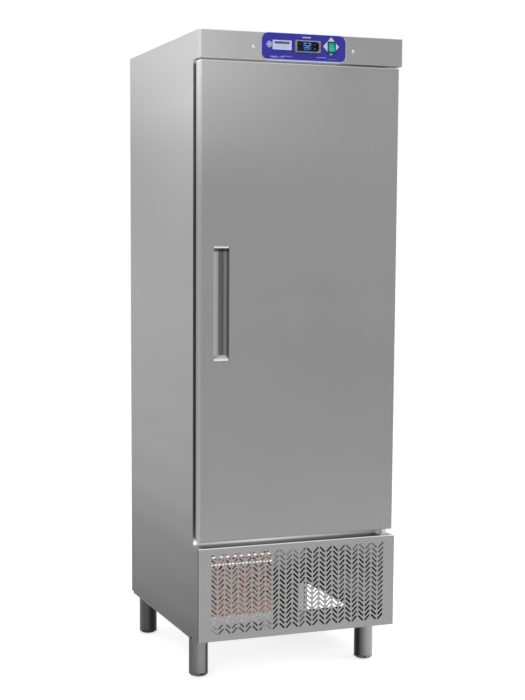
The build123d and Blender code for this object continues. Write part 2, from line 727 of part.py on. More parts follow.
def insulation_foam():
    """Foam between the outer skins and the liner."""
    half = INNER - FOAM_GAP
    y0 = LINER_FRONT + FOAM_GAP
    y1 = INNER_BACK - FOAM_GAP
    foam = block(-half, half, y0, y1, DECK + FOAM_GAP, FOAM_TOP - FOAM_GAP)
    foam -= rounded_tub(
        LINER_HALF + FOAM_GAP,
        LINER_FRONT - RUN_THROUGH,
        LINER_BACK + FOAM_GAP,
        LINER_BOTTOM - FOAM_GAP,
        LINER_TOP + FOAM_GAP,
        LINER_RADIUS + FOAM_GAP,
    )
    channel_top = LINER_TOP - FOAM_ABOVE_LINER + LINE_BEND
    foam -= line_channel(DECK - RUN_THROUGH, channel_top)
    middle = (SUCTION_X + LIQUID_X) / 2
    port_z0 = LINER_TOP - SUCTION_TOP - LINE_BEND
    foam -= block(
        middle - LINE_CHANNEL_HALF,
        middle + LINE_CHANNEL_HALF,
        LINER_BACK - RUN_THROUGH,
        BACK - LINE_FROM_BACK,
        port_z0,
        channel_top,
    )
    return foam


def lower_deck():
    """Sheet between the insulated body and the machine compartment."""
    deck = block(-INNER, INNER, PANEL_FRONT, INNER_BACK, DECK - SHEET, DECK)
    deck -= line_channel(DECK - SHEET - RUN_THROUGH, DECK + RUN_THROUGH)
    for x, y in hinge_screw_places():
        z0 = DECK - SHEET - RUN_THROUGH
        deck -= post(x, y, z0, DECK + RUN_THROUGH, HINGE_SCREW_RADIUS + FIT_GAP)
    return deck


def grille_slots():
    """Slots at 45 degrees, leaning left and right by turns."""
    slots = []
    for column in range(SLOT_COLUMNS):
        x = (column - (SLOT_COLUMNS - 1) / 2) * SLOT_COLUMN_PITCH
        lean = SLOT_ANGLE if column % 2 else -SLOT_ANGLE
        for row in range(SLOT_ROWS):
            z = BOTTOM + SLOT_BOTTOM_MARGIN + row * SLOT_ROW_PITCH
            slots.append(Pos(x, z) * Rot(0, 0, lean) * SlotOverall(SLOT_LENGTH, SLOT_WIDTH))
    return slots


def grille_panel():
    """Front tray of the machine compartment."""
    panel = tray(LEFT, RIGHT, FRONT, TRAY_BACK, BOTTOM, DECK)
    plane = Plane.XZ.offset(-FRONT + RUN_THROUGH)
    cuts = [extrude(plane * slot, amount=-(SHEET + 2 * RUN_THROUGH)) for slot in grille_slots()]
    return panel - cuts


def rear_vent_panel():
    """Rear cover of the machine compartment with two fields of slots."""
    panel = block(-INNER, INNER, INNER_BACK, BACK, BOTTOM, DECK - SEAM)
    middle_z = (BOTTOM + DECK) / 2
    plane = Plane.XZ.offset(-BACK - RUN_THROUGH)
    cuts = []
    for row in range(LOUVRE_ROWS):
        z = middle_z + (row - (LOUVRE_ROWS - 1) / 2) * LOUVRE_PITCH
        for x in (-LOUVRE_X, LOUVRE_X):
            slot = plane * Pos(x, z) * SlotOverall(LOUVRE_LENGTH, LOUVRE_WIDTH)
            cuts.append(extrude(slot, amount=SHEET + 2 * RUN_THROUGH))
    y0 = INNER_BACK - RUN_THROUGH
    cuts.append(bar_along_y(GLAND_X, GLAND_Z, y0, BACK + RUN_THROUGH, GLAND_BODY_RADIUS + FIT_GAP))
    return panel - cuts


def cable_gland():
    """Gland in the rear cover, with an open bore."""
    flange = bar_along_y(GLAND_X, GLAND_Z, BACK, BACK + GLAND_FLANGE, GLAND_FLANGE_RADIUS)
    body = bar_along_y(GLAND_X, GLAND_Z, INNER_BACK - GLAND_INSIDE, BACK, GLAND_BODY_RADIUS)
    nut = bar_along_y(GLAND_X, GLAND_Z, INNER_BACK - GLAND_INSIDE, INNER_BACK, GLAND_FLANGE_RADIUS)
    y0 = INNER_BACK - GLAND_INSIDE - RUN_THROUGH
    y1 = BACK + GLAND_FLANGE + RUN_THROUGH
    return flange + body + nut - bar_along_y(GLAND_X, GLAND_Z, y0, y1, GLAND_BORE_RADIUS)


def rear_spacers():
    """Rubber pads that keep the back clear of a wall."""
    pads = []
    for x in (-SPACER_X, SPACER_X):
        for z in (DECK + SPACER_FROM_END, TOP - SPACER_FROM_END):
            pads.append(bar_along_y(x, z, BACK, BACK + SPACER_THICKNESS, SPACER_RADIUS))
    return pads


def floor_plates():
    """Four plates round the air opening in the compartment's floor."""
    front = block(-INNER, INNER, PANEL_FRONT, OPENING_FRONT, BOTTOM, FLOOR_TOP)
    rear = block(-INNER, INNER, OPENING_BACK, INNER_BACK, BOTTOM, FLOOR_TOP)
    side_y0 = OPENING_FRONT + SEAM
    side_y1 = OPENING_BACK - SEAM
    left = block(-INNER, OPENING_LEFT, side_y0, side_y1, BOTTOM, FLOOR_TOP)
    right = block(OPENING_RIGHT, INNER, side_y0, side_y1, BOTTOM, FLOOR_TOP)
    return [front, rear, left, right]


def air_divider():
    """Upright sheet at the left edge of the air opening, with a front flange."""
    z1 = FLOOR_TOP + DIVIDER_HEIGHT
    web_x0 = OPENING_LEFT - DIVIDER_SHEET
    y0 = OPENING_FRONT + SEAM
    web = block(web_x0, OPENING_LEFT, y0, OPENING_BACK - SEAM, FLOOR_TOP, z1)
    flange = block(OPENING_LEFT - DIVIDER_FLANGE, OPENING_LEFT, y0, y0 + DIVIDER_SHEET, FLOOR_TOP, z1)
    return web + flange


def leg_places():
    """Centres of the four legs, front left first."""
    return [
        ("front_left", -LEG_X, FRONT + LEG_FROM_FRONT),
        ("front_right", LEG_X, FRONT + LEG_FROM_FRONT),
        ("rear_left", -LEG_X, BACK - LEG_FROM_BACK),
        ("rear_right", LEG_X, BACK - LEG_FROM_BACK),
    ]


def leg(x, y):
    """Round tube welded to a square plate under the body."""
    half = LEG_PLATE / 2
    plate = block(x - half, x + half, y - half, y + half, BOTTOM - RAIL_HEIGHT, BOTTOM)
    leg_tube = post(x, y, FOOT_HEIGHT + FOOT_GAP, BOTTOM - RAIL_HEIGHT, LEG_RADIUS)
    bore = post(x, y, 0, BOTTOM - RAIL_HEIGHT, LEG_RADIUS - LEG_WALL)
    return plate + leg_tube - bore


def foot(x, y):
    """Levelling foot: an eight-sided pad with a coned underside on a close-fitting insert."""
    turn = Rot(0, 0, 180 / FOOT_SIDES)
    sole = Pos(x, y, 0) * turn * RegularPolygon(LEG_RADIUS - FOOT_CONE_INSET, FOOT_SIDES)
    edge = Pos(x, y, FOOT_CONE_HEIGHT) * turn * RegularPolygon(LEG_RADIUS, FOOT_SIDES)
    pad = loft([sole, edge]) + extrude(edge, amount=FOOT_HEIGHT - FOOT_CONE_HEIGHT)
    insert = post(x, y, FOOT_HEIGHT, FOOT_HEIGHT + FOOT_INSERT, LEG_RADIUS - LEG_WALL - FOOT_FIT)
    return pad + insert


def base_rails():
    """Shallow channels between the front and rear leg plates."""
    rails = []
    y0 = FRONT + LEG_FROM_FRONT + LEG_PLATE / 2 + SEAM
    y1 = BACK - LEG_FROM_BACK - LEG_PLATE / 2 - SEAM
    z0 = BOTTOM - RAIL_HEIGHT
    for side in (-1, 1):
        x_outer = side * (WIDTH / 2 - RAIL_INSET)
        x_inner = x_outer - side * RAIL_WIDTH
        x0 = min(x_outer, x_inner)
        x1 = max(x_outer, x_inner)
        rail = block(x0, x1, y0, y1, z0, BOTTOM)
        hollow_z1 = BOTTOM - RAIL_SHEET
        hollow_y0 = y0 - RUN_THROUGH
        hollow_y1 = y1 + RUN_THROUGH
        rail -= block(x0 + RAIL_SHEET, x1 - RAIL_SHEET, hollow_y0, hollow_y1, z0 - RUN_THROUGH, hollow_z1)
        rails.append(rail)
    return rails


def unit_base_plate():
    """Tray of the condensing unit, with lips at its ends and folded feet."""
    y0 = FRONT + UNIT_FROM_FRONT
    y1 = BACK - UNIT_FROM_BACK
    z1 = UNIT_PLATE_TOP
    plate = block(UNIT_LEFT, UNIT_RIGHT, y0, y1, z1 - UNIT_SHEET, z1)
    plate += block(UNIT_LEFT, UNIT_RIGHT, y0, y0 + UNIT_SHEET, z1 - UNIT_LIP, z1)
    plate += block(UNIT_LEFT, UNIT_RIGHT, y1 - UNIT_SHEET, y1, z1 - UNIT_LIP, z1)
    for x0 in (UNIT_LEFT, UNIT_RIGHT - UNIT_FOOT):
        for foot_y0 in (y0 + UNIT_SHEET, y1 - UNIT_SHEET - UNIT_FOOT):
            foot_y1 = foot_y0 + UNIT_FOOT
            plate += block(x0, x0 + UNIT_FOOT, foot_y0, foot_y1, FLOOR_TOP, z1 - UNIT_SHEET)
    return plate


def finned_block(x0, x1, y0, y1, z0, z1, pitch, groove):
    """A heat exchanger's fins, open between them at the front and the back."""
    body = block(x0, x1, y0, y1, z0, z1)
    cuts = []
    count = int((x1 - x0 - FIN_THICKNESS) // pitch)
    start = (x0 + x1) / 2 - count * pitch / 2
    gap = pitch - FIN_THICKNESS
    for index in range(count):
        gap_x0 = start + index * pitch + FIN_THICKNESS / 2
        for cut_y0, cut_y1 in ((y0 - RUN_THROUGH, y0 + groove), (y1 - groove, y1 + RUN_THROUGH)):
            cut_z0 = z0 + FIN_THICKNESS
            cut_z1 = z1 - FIN_THICKNESS
            cuts.append(block(gap_x0, gap_x0 + gap, cut_y0, cut_y1, cut_z0, cut_z1))
    return body - cuts


def condenser_passes():
    """Heights of the straight tube runs."""
    return [UNIT_PLATE_TOP + TUBE_PITCH * (index + 0.5) for index in range(CONDENSER_PASSES)]


def condenser_fins():
    x0 = UNIT_LEFT + CONDENSER_MARGIN
    x1 = UNIT_RIGHT - CONDENSER_MARGIN
    z1 = UNIT_PLATE_TOP + CONDENSER_HEIGHT
    fins = finned_block(x0, x1, CONDENSER_Y0, CONDENSER_Y1, UNIT_PLATE_TOP, z1, FIN_PITCH, FIN_GROOVE)
    middle_y = (CONDENSER_Y0 + CONDENSER_Y1) / 2
    holes = []
    for z in condenser_passes():
        hole_x0 = x0 - RUN_THROUGH
        hole_x1 = x1 + RUN_THROUGH
        holes.append(bar_along_x(middle_y, z, hole_x0, hole_x1, CONDENSER_TUBE_RADIUS + TUBE_FIT))
    return fins - holes


def condenser_tube():
    """One tube that runs to and fro through the fins, with half-round bends."""
    x0 = UNIT_LEFT + CONDENSER_MARGIN - TUBE_PITCH / 2
    x1 = UNIT_RIGHT - CONDENSER_MARGIN + TUBE_PITCH / 2
    end_x = UNIT_RIGHT - CONDENSER_MARGIN + STUB_LENGTH
    y = (CONDENSER_Y0 + CONDENSER_Y1) / 2
    points = []
    for index, z in enumerate(condenser_passes()):
        first, last = index == 0, index == CONDENSER_PASSES - 1
        right_x = end_x if first or last else x1
        ends = [(right_x, y, z), (x0, y, z)]
        points += ends if index % 2 == 0 else ends[::-1]
    return tube(points, CONDENSER_TUBE_RADIUS, TUBE_PITCH / 2 - TUBE_BEND_SLACK)


def fan_shroud():
    """Sheet box from the condenser to the fan, with a round hole."""
    x0 = UNIT_LEFT + CONDENSER_MARGIN
    x1 = UNIT_RIGHT - CONDENSER_MARGIN
    y0 = CONDENSER_Y1
    z0 = UNIT_PLATE_TOP
    z1 = UNIT_PLATE_TOP + CONDENSER_HEIGHT
    wall = SHROUD_SHEET
    shroud = block(x0, x1, y0, SHROUD_BACK, z0, z1)
    shroud -= block(x0 + wall, x1 - wall, y0 - RUN_THROUGH, SHROUD_BACK - wall, z0 + wall, z1 - wall)
    hole_y0 = SHROUD_BACK - wall - RUN_THROUGH
    hole_y1 = SHROUD_BACK + RUN_THROUGH
    radius = CONDENSER_FAN_RADIUS + FAN_CLEARANCE
    return shroud - bar_along_y(UNIT_MIDDLE, CONDENSER_MIDDLE_Z, hole_y0, hole_y1, radius)


def fan_blade(x, z, plate_y, radius):
    """Axial fan: a bored hub with pitched blades, turning about Y."""
    hub_y0 = plate_y - FAN_FRONT
    fan = bar_along_y(0, 0, hub_y0, hub_y0 + FAN_HUB_LENGTH, FAN_HUB_RADIUS)
    middle_y = hub_y0 + FAN_HUB_LENGTH / 2
    inner_radius = FAN_HUB_RADIUS - RUN_THROUGH
    length = radius - inner_radius
    for index in range(FAN_BLADES):
        sheet = Box(FAN_BLADE_DEPTH * 2, FAN_BLADE_SHEET, length)
        turned = Rot(0, 0, FAN_PITCH) * sheet
        placed = Rot(0, index * 360 / FAN_BLADES, 0) * Pos(0, 0, inner_radius + length / 2) * turned
        fan += Pos(0, middle_y, 0) * placed
    fan &= bar_along_y(0, 0, plate_y - FAN_BLADE_DEPTH, plate_y + FAN_BLADE_DEPTH, radius)
    bore_y1 = hub_y0 + FAN_HUB_LENGTH + RUN_THROUGH
    fan -= bar_along_y(0, 0, hub_y0 - RUN_THROUGH, bore_y1, FAN_SHAFT_RADIUS + PIN_FIT)
    return Pos(x, 0, z) * fan


def fan_motor(x, z, plate_y, radius, arms, first_arm):
    """Fan motor with its shaft and the arms that hold it to the plate."""
    motor_y0 = plate_y + MOTOR_GAP
    motor = bar_along_y(0, 0, motor_y0, motor_y0 + MOTOR_LENGTH, MOTOR_RADIUS)
    motor = fillet(motor.edges().group_by(Axis.Y)[-1], MOTOR_RADIUS / 4)
    motor += bar_along_y(0, 0, plate_y - FAN_FRONT, motor_y0, FAN_SHAFT_RADIUS)
    reach = radius + ARM_REACH
    arm_y0 = motor_y0 + MOTOR_RADIUS / 4
    arm_y1 = arm_y0 + ARM_THICKNESS
    half = ARM_WIDTH / 2
    for index in range(arms):
        arm = block(MOTOR_RADIUS - ARM_THICKNESS, reach, arm_y0, arm_y1, -half, half)
        arm += block(reach - ARM_THICKNESS, reach, plate_y, arm_y1, -half, half)
        motor += Rot(0, first_arm + index * 360 / arms, 0) * arm
    return Pos(x, 0, z) * motor


def compressor_shell():
    """Welded hermetic shell: domed ends and a band round its seam."""
    z0 = UNIT_PLATE_TOP + GROMMET_HEIGHT + CRADLE_SHEET
    z1 = z0 + COMPRESSOR_HEIGHT
    shell = post(UNIT_MIDDLE, COMPRESSOR_Y, z0, z1, COMPRESSOR_RADIUS)
    shell = fillet(shell.edges().filter_by(GeomType.CIRCLE), COMPRESSOR_DOME)
    band_z = z0 + COMPRESSOR_HEIGHT / 2
    half = COMPRESSOR_BAND_HEIGHT / 2
    band_radius = COMPRESSOR_RADIUS + COMPRESSOR_BAND
    return shell + post(UNIT_MIDDLE, COMPRESSOR_Y, band_z - half, band_z + half, band_radius)


def compressor_cradle():
    """Plate under the compressor, standing on four grommets."""
    half = CRADLE_SIZE / 2
    z0 = UNIT_PLATE_TOP + GROMMET_HEIGHT
    y0 = COMPRESSOR_Y - half
    y1 = COMPRESSOR_Y + half
    plate = block(UNIT_MIDDLE - half, UNIT_MIDDLE + half, y0, y1, z0, z0 + CRADLE_SHEET)
    offset = half - GROMMET_RADIUS
    for dx in (-offset, offset):
        for dy in (-offset, offset):
            plate += post(UNIT_MIDDLE + dx, COMPRESSOR_Y + dy, UNIT_PLATE_TOP, z0, GROMMET_RADIUS)
    return plate


def refrigerant_lines():
    """Suction, discharge and liquid lines."""
    shell_z = UNIT_PLATE_TOP + GROMMET_HEIGHT + CRADLE_SHEET
    line_y = BACK - LINE_FROM_BACK
    shell_side = COMPRESSOR_RADIUS + FIT_GAP
    suction_z = shell_z + SUCTION_PORT_HEIGHT
    suction_top = LINER_TOP - SUCTION_TOP
    suction = tube(
        [
            (UNIT_MIDDLE + shell_side, COMPRESSOR_Y, suction_z),
            (SUCTION_X, COMPRESSOR_Y, suction_z),
            (SUCTION_X, line_y, suction_z),
            (SUCTION_X, line_y, suction_top),
            (SUCTION_X, COIL_BACK + FIT_GAP, suction_top),
        ],
        SUCTION_RADIUS,
        LINE_BEND,
    )
    passes = condenser_passes()
    tube_y = (CONDENSER_Y0 + CONDENSER_Y1) / 2
    end_x = UNIT_RIGHT - CONDENSER_MARGIN + STUB_LENGTH + FIT_GAP
    discharge_z = shell_z + DISCHARGE_PORT_HEIGHT
    discharge_y = COMPRESSOR_Y - shell_side
    turn_y = discharge_y - 2 * LINE_BEND
    discharge = tube(
        [
            (UNIT_MIDDLE, discharge_y, discharge_z),
            (UNIT_MIDDLE, turn_y, discharge_z),
            (DISCHARGE_X, turn_y, discharge_z),
            (DISCHARGE_X, turn_y, passes[-1]),
            (DISCHARGE_X, tube_y, passes[-1]),
            (end_x, tube_y, passes[-1]),
        ],
        DISCHARGE_RADIUS,
        SMALL_BEND,
    )
    liquid_top = LINER_TOP - LIQUID_TOP
    liquid = tube(
        [
            (end_x, tube_y, passes[0]),
            (LIQUID_X, tube_y, passes[0]),
            (LIQUID_X, line_y, passes[0]),
            (LIQUID_X, line_y, liquid_top),
            (LIQUID_X, COIL_BACK + FIT_GAP, liquid_top),
        ],
        LIQUID_RADIUS,
        SMALL_BEND,
    )
    return [suction, discharge, liquid]


def evaporator_cover():
    """Housing under the liner's ceiling, with the fan's hole in front."""
    wall = EVAPORATOR_SHEET
    half = EVAPORATOR_HALF
    z0 = EVAPORATOR_BOTTOM
    z1 = LINER_TOP - SHEET - FOAM_GAP
    y0 = EVAPORATOR_Y0
    y1 = LINER_BACK - EVAPORATOR_BACK_GAP
    cover = block(-half, half, y0, y1, z0, z1)
    cover -= block(wall - half, half - wall, y0 + wall, y1 + RUN_THROUGH, z0 + wall, z1 + RUN_THROUGH)
    return_y0 = LINER_BACK - EVAPORATOR_RETURN
    cover -= block(wall - half, half - wall, return_y0, y1 + RUN_THROUGH, z0 - RUN_THROUGH, z0 + wall)
    radius = EVAPORATOR_FAN_RADIUS + FAN_CLEARANCE
    return cover - bar_along_y(0, EVAPORATOR_MIDDLE_Z, y0 - RUN_THROUGH, y0 + wall + RUN_THROUGH, radius)


def evaporator_coil():
    z1 = COIL_BOTTOM + COIL_HEIGHT
    y0 = COIL_BACK - COIL_DEPTH
    return finned_block(-COIL_HALF, COIL_HALF, y0, COIL_BACK, COIL_BOTTOM, z1, COIL_FIN_PITCH, FIN_GROOVE)


def shelf_height(index):
    """Height of the middle of a shelf's frame rods."""
    return LINER_BOTTOM + SHELF_FIRST + index * SHELF_PITCH


def shelf(index):
    """Wire shelf: a rounded frame, two cross rods and the wires on them."""
    z = shelf_height(index)
    y0 = BODY_FRONT + SHELF_FRONT_GAP
    y1 = LINER_BACK - SHELF_BACK_GAP
    half = SHELF_HALF
    corners = [(-half, y0, z), (half, y0, z), (half, y1, z), (-half, y1, z)]
    path = FilletPolyline(*corners, radius=SHELF_CORNER, close=True)
    rack = sweep(Plane(path @ 0, z_dir=path % 0) * Circle(SHELF_ROD_RADIUS), path=path)
    for share in (1, 2):
        y = y0 + (y1 - y0) * share / 3
        rack += bar_along_x(y, z, -half, half, SHELF_ROD_RADIUS - SHELF_WIRE_RADIUS / 2)
    wire_z = z + SHELF_ROD_RADIUS + SHELF_WIRE_RADIUS - SHELF_WELD
    count = int(2 * (half - SHELF_CORNER) // SHELF_WIRE_PITCH)
    for number in range(count + 1):
        x = (number - count / 2) * SHELF_WIRE_PITCH
        rack += bar_along_y(x, wire_z, y0, y1, SHELF_WIRE_RADIUS)
    return rack


def shelf_runners():
    """Angles on the liner's sides that carry the shelves."""
    runners = []
    y0 = BODY_FRONT + SHELF_FRONT_GAP
    y1 = LINER_BACK - SHELF_BACK_GAP
    wall_x = LINER_HALF - SHEET - FOAM_GAP
    for index in range(SHELF_COUNT):
        seat = shelf_height(index) - SHELF_ROD_RADIUS
        for side in (-1, 1):
            outline = [
                (wall_x, seat - RUNNER_SHEET),
                (wall_x - RUNNER_WIDTH, seat - RUNNER_SHEET),
                (wall_x - RUNNER_WIDTH, seat),
                (wall_x - RUNNER_SHEET, seat),
                (wall_x - RUNNER_SHEET, seat + RUNNER_HEIGHT),
                (wall_x, seat + RUNNER_HEIGHT),
            ]
            points = [(side * x, z) for x, z in outline]
            face = Plane.XZ.offset(-y0) * Polygon(*points, align=None)
            runners.append(extrude(face, amount=y1 - y0, dir=(0, 1, 0)))
    return runners


def hinge_screw_places():
    """Two screws in each hinge bracket, behind the pivot."""
    y = BODY_FRONT - HINGE_SCREW_FROM_BACK
    return [(PIVOT_X - HINGE_SCREW_OFFSET, y), (PIVOT_X + HINGE_SCREW_OFFSET, y)]


def hinge_screw(x, y, face_z, direction, gap):
    """Countersunk screw whose head is flush with the bracket's free face."""
    head_z = face_z + direction * HINGE_SCREW_HEAD
    tip_z = face_z + direction * HINGE_SCREW_LENGTH
    shank = post(x, y, min(head_z, tip_z), max(head_z, tip_z), HINGE_SCREW_RADIUS + gap)
    cone = Cone(HINGE_SCREW_HEAD_RADIUS + gap, HINGE_SCREW_RADIUS + gap, HINGE_SCREW_HEAD)
    turn = 0 if direction > 0 else 180
    head = Pos(x, y, (face_z + head_z) / 2) * Rot(turn, 0, 0) * cone
    return shank + head


def top_bracket_face():
    """Height of the top hinge bracket's lower face."""
    return HEAD_BOTTOM - HINGE_THICKNESS


def hinge_brackets():
    """Plates with pins: one under the head and one on the lower deck."""
    x0 = PIVOT_X - HINGE_WIDTH / 2
    x1 = PIVOT_X + HINGE_WIDTH / 2
    y0 = PIVOT_Y - HINGE_FRONT_MARGIN
    y1 = BODY_FRONT - FOAM_GAP
    top_face = top_bracket_face()
    top = block(x0, x1, y0, y1, top_face, HEAD_BOTTOM)
    top += post(PIVOT_X, PIVOT_Y, top_face - PIN_LENGTH, top_face, PIN_RADIUS)
    foot_top = DECK + HINGE_FOOT_THICKNESS
    boss_top = DOOR_BOTTOM - BUSH_FLANGE - BOSS_GAP
    bottom = block(x0, x1, y0, y1, DECK, foot_top)
    bottom += post(PIVOT_X, PIVOT_Y, foot_top, boss_top, BOSS_RADIUS)
    bottom += post(PIVOT_X, PIVOT_Y, boss_top, boss_top + PIN_LENGTH, PIN_RADIUS)
    for x, y in hinge_screw_places():
        top -= hinge_screw(x, y, top_face, 1, FIT_GAP)
        bottom -= hinge_screw(x, y, foot_top, -1, FIT_GAP)
    return [top, bottom]


def hinge_screws():
    screws = []
    for x, y in hinge_screw_places():
        screws.append(hinge_screw(x, y, top_bracket_face(), 1, 0))
        screws.append(hinge_screw(x, y, DECK + HINGE_FOOT_THICKNESS, -1, 0))
    return screws


def hinge_bushes(gap):
    """Flanged bushes in the door's top and bottom, bored for the pins."""
    top = post(PIVOT_X, PIVOT_Y, DOOR_TOP - BUSH_LENGTH, DOOR_TOP, BUSH_RADIUS + gap)
    bottom = post(PIVOT_X, PIVOT_Y, DOOR_BOTTOM, DOOR_BOTTOM + BUSH_LENGTH, BUSH_RADIUS + gap)
    return [top, bottom]


def bored_bushes():
    top, bottom = hinge_bushes(0)
    top += post(PIVOT_X, PIVOT_Y, DOOR_TOP, DOOR_TOP + BUSH_FLANGE, BUSH_FLANGE_RADIUS)
    bottom += post(PIVOT_X, PIVOT_Y, DOOR_BOTTOM - BUSH_FLANGE, DOOR_BOTTOM, BUSH_FLANGE_RADIUS)
    bore_z0 = DOOR_BOTTOM - BUSH_FLANGE - RUN_THROUGH
    bore_z1 = DOOR_TOP + BUSH_FLANGE + RUN_THROUGH
    bore = post(PIVOT_X, PIVOT_Y, bore_z0, bore_z1, PIN_RADIUS + PIN_FIT)
    return [top - bore, bottom - bore]


def handle_block(gap):
    """The whole space of the handle's channel, grown by a gap."""
    y0 = DOOR_FRONT - RUN_THROUGH
    return block(
        HANDLE_X0 - gap, HANDLE_X1 + gap, y0, HANDLE_BACK + gap, HANDLE_BOTTOM - gap, HANDLE_TOP + gap
    )


def handle_channel():
    """Finger recess, a sheet box open in front."""
    x0 = HANDLE_X0
    x1 = HANDLE_X1
    channel = block(x0, x1, HANDLE_FRONT, HANDLE_BACK, HANDLE_BOTTOM, HANDLE_TOP)
    y0 = HANDLE_FRONT - RUN_THROUGH
    y1 = HANDLE_BACK - SHEET
    z0 = HANDLE_BOTTOM + SHEET
    z1 = HANDLE_TOP - SHEET
    return channel - block(x0 + SHEET, x1 - SHEET, y0, y1, z0, z1)


def handle_lip():
    """Sloping lip inside the recess, on the side of the door's free edge."""
    x0 = HANDLE_X0 + SHEET
    x1 = x0 + HANDLE_LIP_WIDTH
    back_slope = HANDLE_FRONT + HANDLE_LIP_SLOPE
    points = [
        (x0, HANDLE_FRONT),
        (x1, back_slope),
        (x1, back_slope + HANDLE_LIP_SHEET),
        (x0, HANDLE_FRONT + HANDLE_LIP_SHEET),
    ]
    z0 = HANDLE_BOTTOM + SHEET + HANDLE_CAP_BACK + FIT_GAP
    z1 = HANDLE_TOP - SHEET - HANDLE_CAP_BACK - FIT_GAP
    face = Plane.XY.offset(z0) * Polygon(*points, align=None)
    return extrude(face, amount=z1 - z0, dir=(0, 0, 1))


def handle_end_cap(z, direction):
    """Sloped filler at one end of the recess."""
    front = HANDLE_FRONT
    back = HANDLE_BACK - SHEET - FIT_GAP
    outline = [
        (front, z),
        (back, z),
        (back, z + direction * HANDLE_CAP_BACK),
        (front, z + direction * HANDLE_CAP_FRONT),
    ]
    x0 = HANDLE_X0 + SHEET + FIT_GAP
    x1 = HANDLE_X1 - SHEET - FIT_GAP
    return side_outline(outline, x0, x1)


def handle_end_caps():
    seat = SHEET + FIT_GAP
    return [handle_end_cap(HANDLE_BOTTOM + seat, 1), handle_end_cap(HANDLE_TOP - seat, -1)]


def door_skin():
    """Folded outer skin of the door, cut out for the handle and the bushes."""
    skin = tray(-DOOR_HALF, DOOR_HALF, DOOR_FRONT, DOOR_BACK, DOOR_BOTTOM, DOOR_TOP)
    skin -= handle_block(FIT_GAP)
    skin -= hinge_bushes(FIT_GAP)
    return skin


def door_frame_half():
    """Half width of the ring that closes the door's edge."""
    return DOOR_HALF - SHEET - FOAM_GAP


def door_frame_z():
    return DOOR_BOTTOM + SHEET + FOAM_GAP, DOOR_TOP - SHEET - FOAM_GAP


def panel_half():
    """Half width of the raised inner panel."""
    return LINER_HALF - SHEET - DOOR_PANEL_CLEARANCE


def panel_z():
    return LINER_BOTTOM + SHEET + DOOR_PANEL_CLEARANCE, LINER_TOP - SHEET - DOOR_PANEL_CLEARANCE


def raised_block(inset, y0):
    """The raised part of the inner panel, made smaller by an inset."""
    z0, z1 = panel_z()
    half = panel_half() - inset
    radius = DOOR_PANEL_RADIUS - inset
    y1 = DOOR_PANEL_BACK - inset
    return rounded_tub(half, y0, y1, z0 + inset, z1 - inset, radius)


def door_frame():
    """Plastic ring between the skin's edge and the inner panel."""
    y0 = DOOR_BACK - DOOR_RING_THICKNESS
    z0, z1 = door_frame_z()
    half = door_frame_half()
    frame = block(-half, half, y0, DOOR_BACK, z0, z1)
    panel_z0, panel_z1 = panel_z()
    hole_half = panel_half() + DOOR_PANEL_FLANGE + FIT_GAP
    hole_z0 = panel_z0 - DOOR_PANEL_FLANGE - FIT_GAP
    hole_z1 = panel_z1 + DOOR_PANEL_FLANGE + FIT_GAP
    return frame - block(-hole_half, hole_half, y0 - RUN_THROUGH, DOOR_BACK + RUN_THROUGH, hole_z0, hole_z1)


def door_inner_panel():
    """Raised inner panel of the door with its flange."""
    y0 = DOOR_BACK - DOOR_RING_THICKNESS
    z0, z1 = panel_z()
    half = panel_half() + DOOR_PANEL_FLANGE
    flange = block(-half, half, y0, DOOR_BACK, z0 - DOOR_PANEL_FLANGE, z1 + DOOR_PANEL_FLANGE)
    panel = flange + raised_block(0, y0)
    return panel - raised_block(DOOR_PANEL_SHEET, y0 - RUN_THROUGH)


def door_foam():
    """Foam inside the door, with room for the handle and the bushes."""
    half = door_frame_half()
    z0, z1 = door_frame_z()
    y0 = DOOR_FRONT + SHEET + FOAM_GAP
    y1 = DOOR_BACK - DOOR_RING_THICKNESS - FOAM_GAP
    foam = block(-half, half, y0, y1, z0, z1)
    foam = fillet(front_edges(foam), BEND - SHEET - FOAM_GAP)
    foam += raised_block(DOOR_PANEL_SHEET + FOAM_GAP, y1 - RUN_THROUGH)
    foam -= handle_block(FOAM_GAP)
    foam -= hinge_bushes(FOAM_GAP)
    return foam


def door_gasket():
    """Magnetic gasket ring, from the door's frame to just short of the body."""
    half = LINER_HALF - SHEET + GASKET_OUTSET
    z0 = LINER_BOTTOM + SHEET - GASKET_OUTSET
    z1 = LINER_TOP - SHEET + GASKET_OUTSET
    base_y = DOOR_BACK + GASKET_BASE_DEPTH
    end_y = BODY_FRONT - GASKET_GAP
    head_y = end_y - GASKET_HEAD_DEPTH
    bellows_in = (GASKET_WIDTH - GASKET_BELLOWS_WIDTH) / 2
    head_in = (GASKET_WIDTH - GASKET_HEAD_WIDTH) / 2
    gasket = upright_ring(half, z0, z1, GASKET_WIDTH, DOOR_BACK, base_y)
    gasket += upright_ring(
        half - bellows_in, z0 + bellows_in, z1 - bellows_in, GASKET_BELLOWS_WIDTH, base_y, head_y
    )
    gasket += upright_ring(half - head_in, z0 + head_in, z1 - head_in, GASKET_HEAD_WIDTH, head_y, end_y)
    return gasket


